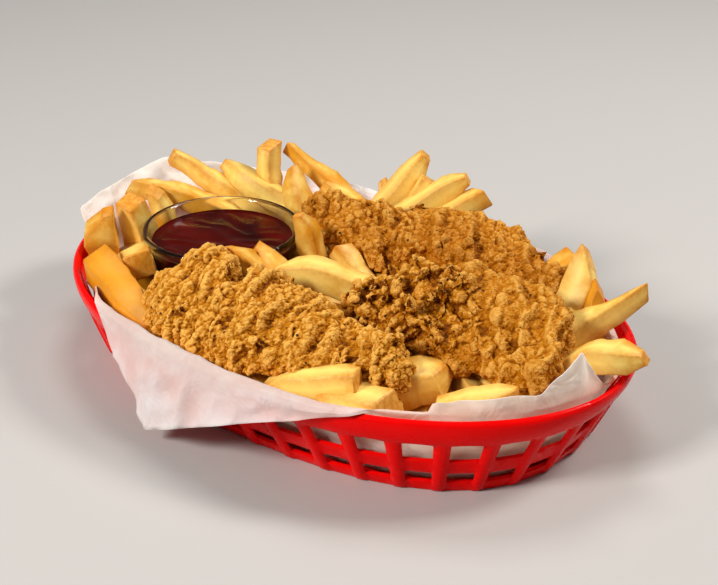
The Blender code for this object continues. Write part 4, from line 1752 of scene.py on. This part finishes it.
    def model_blank(self) -> bpy.types.Object:
        """Model one straight fry of width 1 along X from 0, with rounded edges and rings along it.

        Returns:
            The model fry.
        """
        deselect()
        bpy.ops.mesh.primitive_cube_add(size=1.0, location=(self.blank_length / 2, 0, 0),
                                        scale=(self.blank_length, 1.0, 1.0))
        blank = bpy.context.active_object
        bpy.ops.object.transform_apply(location=True, rotation=True, scale=True)

        def is_long(edge: bmesh.types.BMEdge) -> bool:
            """Whether an edge runs from end to end."""
            return abs(edge.verts[0].co.x - edge.verts[1].co.x) > self.blank_length / 2

        with edit_mode(blank):
            select_parts(blank, "EDGE", is_long)
            bpy.ops.mesh.bevel(offset=0.09, segments=2, affect="EDGES")
            select_parts(blank, "EDGE", lambda e: not is_long(e) and (
                all(v.co.x < 0.01 for v in e.verts) or all(v.co.x > self.blank_length - 0.01 for v in e.verts)))
            bpy.ops.mesh.bevel(offset=0.07, segments=2, affect="EDGES")
            select_parts(blank, "EDGE", is_long)
            bpy.ops.mesh.subdivide(number_cuts=15)
            select_parts(blank, "EDGE", lambda e: abs(e.verts[0].co.x - e.verts[1].co.x) < 0.001
                         and e.calc_length() > 0.6 and 0.05 < e.verts[0].co.x < self.blank_length - 0.05)
            bpy.ops.mesh.subdivide(number_cuts=1)
        blank.name = "fry_blank"
        return blank

    def make_fry(self, blank: bpy.types.Object, fry: Fry, index: int) -> bpy.types.Object:
        """Shape and place one fry.

        Args:
            blank: The model fry.
            fry: What it should be.
            index: Its number, which gives it its own unevenness.

        Returns:
            The fry, in millimetres.
        """
        item = copy_of(blank, f"fry_{index:03d}")
        start, end = Vector(fry.start), Vector(fry.end)
        run = end - start
        length = run.length
        turn = run.to_track_quat("X", "Z") @ Quaternion((1, 0, 0), math.radians(fry.roll))
        left, slant, reach, flatten = fry.cut.value
        whim = noise.noise_vector(Vector((index * 1.7, 0.3, 0.9)))
        lean = math.copysign(1.0, whim.x)
        browning, tones = [], []
        stretch = (length - fry.width * 2) / (self.blank_length - 2)
        for vertex in item.data.vertices:
            x, y, z = vertex.co
            if x < 1.0:
                far = x * fry.width
            elif x > self.blank_length - 1.0:
                far = length - (self.blank_length - x) * fry.width
            else:
                far = fry.width + (x - 1.0) * stretch
            part = far / length
            corner = smoothstep(0.32, 0.50, min(abs(y), abs(z))) + 0.4 * smoothstep(0.50, 0.64, math.hypot(y, z))
            tip = smoothstep(1.0 - reach, 1.0, part)
            narrow = 1.0 + (left - 1.0) * (tip ** 2 if fry.cut is Cut.ROUND else tip)
            tail = 1.0 - self.tail_thin * smoothstep(0.35, 0.0, part)
            wave = noise.noise_vector(Vector((part * 3.5, index * 2.3, 0.0)))
            swell = 1.0 + self.swell * noise.noise(Vector((part * 2.4, index * 1.9, 4.0)))
            turned = math.radians(self.twist) * whim.z * (part - 0.5)
            y, z = y * math.cos(turned) - z * math.sin(turned), y * math.sin(turned) + z * math.cos(turned)
            y = (y * narrow * swell + 0.5 * (1.0 - narrow) * lean) * tail
            z = z * (1.0 + (narrow - 1.0) * flatten) * fry.thick * tail
            far -= slant * fry.width * tip * (0.5 - y * lean) * 0.9
            far -= fry.width * 0.7 * (part ** 4 * (whim.y * y + whim.z * z) - (1.0 - part) ** 4 * whim.x * z)
            y += wave.y * self.wave
            z += wave.z * self.wave
            sway = 1.0 - (2.0 * part - 1.0) ** 2
            local = Vector((far, y * fry.width + whim.y * 2.5 * sway,
                            z * fry.width + (fry.bow + whim.z * 1.2) * sway))
            skin = sum(noise.noise(local / scale + Vector((index * 3.0, 5.0 * k, 0))) * height
                       for k, (scale, height) in enumerate(self.skins))
            local.y += skin * math.copysign(1.0, y)
            local.z += skin * math.copysign(1.0, z)
            vertex.co = start + turn @ local
            at_end = max(smoothstep(0.7, 0.0, (length - far) / fry.width), smoothstep(0.5, 0.0, far / fry.width))
            browning.append(min(1.0, 0.62 * min(corner, 1.0) + 0.35 * at_end + 0.25 * at_end * corner))
            tones.append(min(1.0, max(0.0, fry.tone + whim.x * 0.15 + 0.35 * noise.noise(local / 16.0))))
        item.data.update()
        write_attribute(item, "browning", browning)
        write_attribute(item, "tone", tones)
        return item

    def loose_fries(self, draw: random.Random) -> list[Fry]:
        """Lay fries over the core wherever they clear the wall, the dish and the tenders.

        Args:
            draw: The seeded source of random numbers.

        Returns:
            The fries.
        """
        tenders = [BVHTree.FromPolygons([v.co / MM for v in node.data.vertices],
                                        [p.vertices for p in node.data.polygons])
                   for name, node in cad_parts.items() if name.startswith("tender")]
        laid: list[Fry] = []
        tries = 0
        half_length, half_width = self.loose_half
        while len(laid) < self.loose and tries < self.tries:
            tries += 1
            width = draw.uniform(*self.loose_width)
            length = draw.uniform(*self.loose_length)
            heading = draw.uniform(0.0, math.tau)
            height = draw.uniform(*self.loose_height)
            middle = Vector((draw.uniform(-half_length, half_length), draw.uniform(-half_width, half_width), height))
            tilt = draw.uniform(-0.16, 0.16)
            way = Vector((math.cos(heading), math.sin(heading), tilt)).normalized()
            start, end = middle - way * length / 2, middle + way * length / 2
            spots = [start.lerp(end, k / 6) for k in range(7)]
            if all(self.is_free(spot, width / 2, tenders) for spot in spots):
                fry = Fry(tuple(start), tuple(end), width, draw.uniform(-1, 2), draw.choice(self.loose_cuts),
                          draw.uniform(-30, 30), draw.uniform(0.3, 0.8))
                if all((spot - Vector(place)).length > self.quiet_reach for spot in spots for place in self.quiet):
                    laid.append(fry)
        LOG.info("%d loose fries after %d tries", len(laid), tries)
        return laid

    def is_free(self, spot: Vector, radius: float, tenders: Sequence[BVHTree]) -> bool:
        """Whether a fry may pass through a place.

        Args:
            spot: The place.
            radius: Half the fry's width.
            tenders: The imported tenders' surfaces.

        Returns:
            True where it clears the wall, the dish and the tenders.
        """
        room = self.form.wall + self.paper_room + radius
        low = Vector((spot.x, spot.y, 0.0))
        wall = self.form.wall_point(math.atan2(spot.y / self.form.rim_half[1], spot.x / self.form.rim_half[0]),
                                    max(spot.z - radius, 2.0))
        if low.length > Vector((wall.x, wall.y, 0.0)).length - room:
            return False
        if (Vector((spot.x, spot.y)) - Vector(self.dish.centre)).length < self.dish_room + radius:
            return False
        for tree in tenders:
            place, normal, _, distance = tree.find_nearest(spot)
            if distance < radius * 0.8 or (spot - place).dot(normal) < 0:
                return False
        return True

    def make_core(self) -> bpy.types.Object:
        """Model the mound that fills the lined basket under the fries, with a bumpy top.

        Returns:
            The mound, in millimetres.
        """
        deselect()
        bpy.ops.mesh.primitive_circle_add(vertices=96, radius=1.0, fill_type="NOTHING")
        core = bpy.context.active_object
        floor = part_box("fries")[0].z / MM
        inset = -self.form.wall - 4.2
        rings = [(floor, inset - 0.6, 1.0), (self.core_edge, inset, 1.0)]
        rings += [(0.0, inset, tenths / 10) for tenths in range(9, 0, -1)]
        with edit_mode(core):
            bpy.ops.mesh.select_all(action="SELECT")
            for _ in rings[1:]:
                bpy.ops.mesh.extrude_region_move(TRANSFORM_OT_translate={"value": (0, 0, 1)})

        def placed(p: Vector) -> Vector:
            """Where a place of the stacked rings goes."""
            angle = self.form.angle_at(math.atan2(p.y, p.x) / math.tau)
            height, outset, part = rings[min(round(p.z), len(rings) - 1)]
            if part == 1.0:
                return self.form.wall_point(angle, height, outset)
            spot = self.form.wall_point(angle, self.core_edge, outset) * part
            spot.z = self.core_edge + (self.core_crown - self.core_edge) * (1.0 - part ** 3)
            spot.z += noise.noise(spot / 9.0) * 2.5
            seat_radius, seat_height = self.dish_seat
            if (spot.xy - Vector(self.dish.centre)).length < seat_radius:
                spot.z = min(spot.z, seat_height)
            return spot

        move_points(core, placed)
        with edit_mode(core):
            select_parts(core, "EDGE", lambda e: e.is_boundary and all(v.co.z < floor + 0.1 for v in e.verts))
            bpy.ops.mesh.edge_face_add()
            select_parts(core, "EDGE", lambda e: e.is_boundary)
            bpy.ops.mesh.edge_face_add()
        clean_normals(core, 0.001)
        core.name = "fries_core"
        count = len(core.data.vertices)
        write_attribute(core, "browning", [0.75] * count)
        write_attribute(core, "tone", [0.9] * count)
        return core


# Studio

@dataclass(frozen=True)
class Softbox:
    """Square area light that faces the object, with its distance and size in metres."""

    name: str
    azimuth: float
    elevation: float
    distance: float
    size: float
    power: float
    colour: Triple


@dataclass
class Studio:
    """Plain floor, soft lights and the camera at the photograph's viewing angle."""

    azimuth: float = 38.87
    elevation: float = 26.47
    target: Triple = (-13.5, 30.2, 19.4)
    distance: float = 662.8
    lens: float = 74.32
    sensor: float = 36.0
    nearest: float = 0.05       # metres from the camera to what it shows
    floor_size: float = 8.0     # metres
    floor_gap: float = 0.0002   # metres under the basket
    world: float = 0.19
    world_colour: Triple = (1.0, 0.98, 0.96)
    softboxes: Sequence[Softbox] = (
        Softbox("rim", 138, 46, 1.20, 0.28, 9.5, (1.0, 0.97, 0.92)),
        Softbox("top", 215, 62, 1.20, 0.40, 5.0, (1.0, 0.98, 0.95)),
        Softbox("key", -16, 36, 1.40, 0.34, 19.0, (1.0, 0.97, 0.94)),
    )

    def build(self) -> None:
        """Set up floor, lights, world and camera."""
        bpy.context.scene.view_settings.view_transform = "Standard"
        self.make_floor()
        self.make_lights()
        self.make_world()
        self.make_camera()

    @staticmethod
    def toward(azimuth: float, elevation: float) -> Vector:
        """Unit vector from the object towards a direction; azimuth 0 is -Y and 90 is +X."""
        a, e = math.radians(azimuth), math.radians(elevation)
        return Vector((math.sin(a) * math.cos(e), -math.cos(a) * math.cos(e), math.sin(e)))

    def make_floor(self) -> None:
        """Lay a wide plain floor just under the basket."""
        deselect()
        bpy.ops.mesh.primitive_plane_add(size=self.floor_size, location=(0, 0, -self.floor_gap))
        floor = bpy.context.active_object
        bpy.ops.object.transform_apply(location=True)
        floor.name = "floor"
        floor.data.materials.append(PALE_FLOOR.material())

    def make_lights(self) -> None:
        """Hang the softboxes."""
        for box in self.softboxes:
            way = self.toward(box.azimuth, box.elevation)
            bpy.ops.object.light_add(type="AREA", location=way * box.distance)
            lamp = bpy.context.active_object
            lamp.name = f"softbox_{box.name}"
            lamp.rotation_euler = way.to_track_quat("Z", "Y").to_euler()
            lamp.data.size = box.size
            lamp.data.energy = box.power
            lamp.data.color = box.colour

    def make_world(self) -> None:
        """Give the surroundings a plain soft light."""
        world = bpy.data.worlds.new("studio")
        bpy.context.scene.world = world
        world.use_nodes = True
        background = world.node_tree.nodes["Background"]
        background.inputs["Color"].default_value = (*self.world_colour, 1.0)
        background.inputs["Strength"].default_value = self.world

    def make_camera(self) -> None:
        """Put the camera where the photograph was taken from."""
        way = self.toward(self.azimuth, self.elevation)
        bpy.ops.object.camera_add(location=(Vector(self.target) + way * self.distance) * MM)
        camera = bpy.context.active_object
        camera.rotation_euler = way.to_track_quat("Z", "Y").to_euler()
        camera.data.lens = self.lens
        camera.data.sensor_width = self.sensor
        camera.data.clip_start = self.nearest
        bpy.context.scene.camera = camera


def tenders() -> list[Tender]:
    """Describe the three tenders, each with the lobes, furrows and crust that it shows.

    Returns:
        The tenders.
    """
    front_left = Tender(
        "tender_front_left", ridge_heading=98.0, ridge_height=1.9, ridge_gap=6.0, clump_height=0.7, lumps=10,
        lump_size=(1.3, 2.4), toasted=0.15, seed=11,
        bites=(((-16.5, -43.0, 54.5), 4.4), ((-20.0, -38.0, 53.0), 5.6), ((-22.0, -33.0, 54.0), 6.6)), features=(
            Furrow(((-15.0, -46.0, 57.0), (-9.0, -55.0, 56.0), (-3.0, -67.0, 49.0), (1.0, -78.0, 38.0)), 3.6,
                   (3.4, 2.5)),
            Furrow(((36.0, -34.0, 48.0), (46.0, -46.0, 48.0), (53.0, -54.0, 40.0)), 3.0, (1.5, 3.0)),
            Lobe((53.0, -38.0, 44.0), 15.0, 6.0),
            Lobe((-38.0, -38.0, 54.0), 13.0, 3.2),
            Lobe((14.0, -47.0, 54.0), 20.0, 1.8),
            Lobe((60.0, -46.0, 40.0), 14.0, 5.0),
        ))
    front_right = Tender(
        "tender_front_right", ridge_heading=114.0, ridge_height=1.5, ridge_gap=7.0, clump_height=1.5,
        clump_size=6.4, lumps=46, lump_size=(1.8, 3.4), lump_rise=0.35, satellites=6, grain=0.85, toasted=0.40,
        rough_centre=(46.0, -16.0, 48.0), rough_reach=36.0, seed=23, features=(
            Lobe((48.6, -18.1, 50.7), 6.5, 3.6),
            Lobe((58.2, -5.0, 55.7), 7.0, 3.4),
            Lobe((64.6, 2.9, 57.7), 9.0, 2.4),
            Lobe((42.4, 1.0, 57.4), 10.0, 2.6),
            Lobe((37.3, -13.2, 53.2), 7.0, 1.6),
            Lobe((62.2, -18.1, 47.7), 6.5, 2.6),
            Lobe((65.4, -22.8, 42.4), 7.0, 3.4),
            Lobe((82.0, -14.0, 45.0), 8.0, 2.4),
            Lobe((24.0, -18.9, 46.8), 8.0, 1.6),
            Lobe((55.0, -12.0, 51.5), 5.0, -3.6),
            Lobe((56.5, -24.0, 41.0), 6.5, -4.5),
            Lobe((66.7, -9.9, 51.5), 6.0, -2.4),
            Lobe((74.0, -19.5, 41.0), 6.0, -2.4),
            Lobe((100.0, 6.0, 48.0), 18.0, 2.2),
            Lobe((104.0, -6.0, 38.0), 15.0, 4.5),
            Lobe((100.0, -15.0, 34.0), 15.0, 6.5),
            Lobe((108.0, -8.0, 37.0), 13.0, 4.0),
            Furrow(((62.0, 26.0, 50.0), (76.0, 2.0, 55.0), (79.6, -9.0, 49.6), (90.0, -15.0, 40.5)), 3.0, (1.5, 3.0)),
            Furrow(((24.0, -2.0, 50.0), (42.4, 4.0, 57.0), (59.6, 13.3, 59.0), (82.6, 18.2, 57.0),
                    (93.0, 19.0, 53.8)), 4.5, (-2.0, -1.8)),
        ))
    back = Tender(
        "tender_back", ridge_heading=124.0, ridge_height=1.9, ridge_gap=6.6, clump_height=0.9, lumps=22,
        # toasting set high partly as painted shade on this tender's front
        lump_size=(1.4, 2.8), toasted=0.68, seed=37, features=(
            Furrow(((-6.0, 58.0, 50.0), (2.0, 40.0, 54.0), (10.0, 22.0, 44.0)), 3.4, (4.5, 4.0)),
            Furrow(((30.0, 68.0, 48.0), (38.0, 48.0, 53.0), (44.0, 34.0, 44.0)), 3.0, (4.0, 3.0)),
            Furrow(((-22.0, 22.0, 44.0), (-14.0, 30.0, 50.0), (-10.0, 40.0, 54.0)), 3.2, (5.0, 3.0)),
            Furrow(((12.8, 25.5, 43.1), (27.7, 33.9, 47.2), (44.3, 39.7, 49.1), (62.5, 42.5, 48.8),
                    (75.8, 41.1, 45.2)), 4.5, (3.5, 4.0)),
            Lobe((-40.0, 36.0, 54.0), 15.0, 5.5),
            Lobe((72.0, 44.0, 46.0), 12.0, 2.2),
            Lobe((79.0, 46.0, 43.0), 13.0, 5.0),
        ))
    return [front_left, front_right, back]


def main() -> None:
    """Build every piece in order."""
    logging.basicConfig(level=logging.INFO, format="%(name)s: %(message)s")
    form = BasketForm()
    dish = DipDish()
    LatticeBasket(form).build()
    PaperLiner(form).build()
    dish.build()
    DarkDip(dish).build()
    for tender in tenders():
        tender.build()
    FryHeap(form, dish).build()
    Studio().build()


if __name__ == "__main__":
    main()
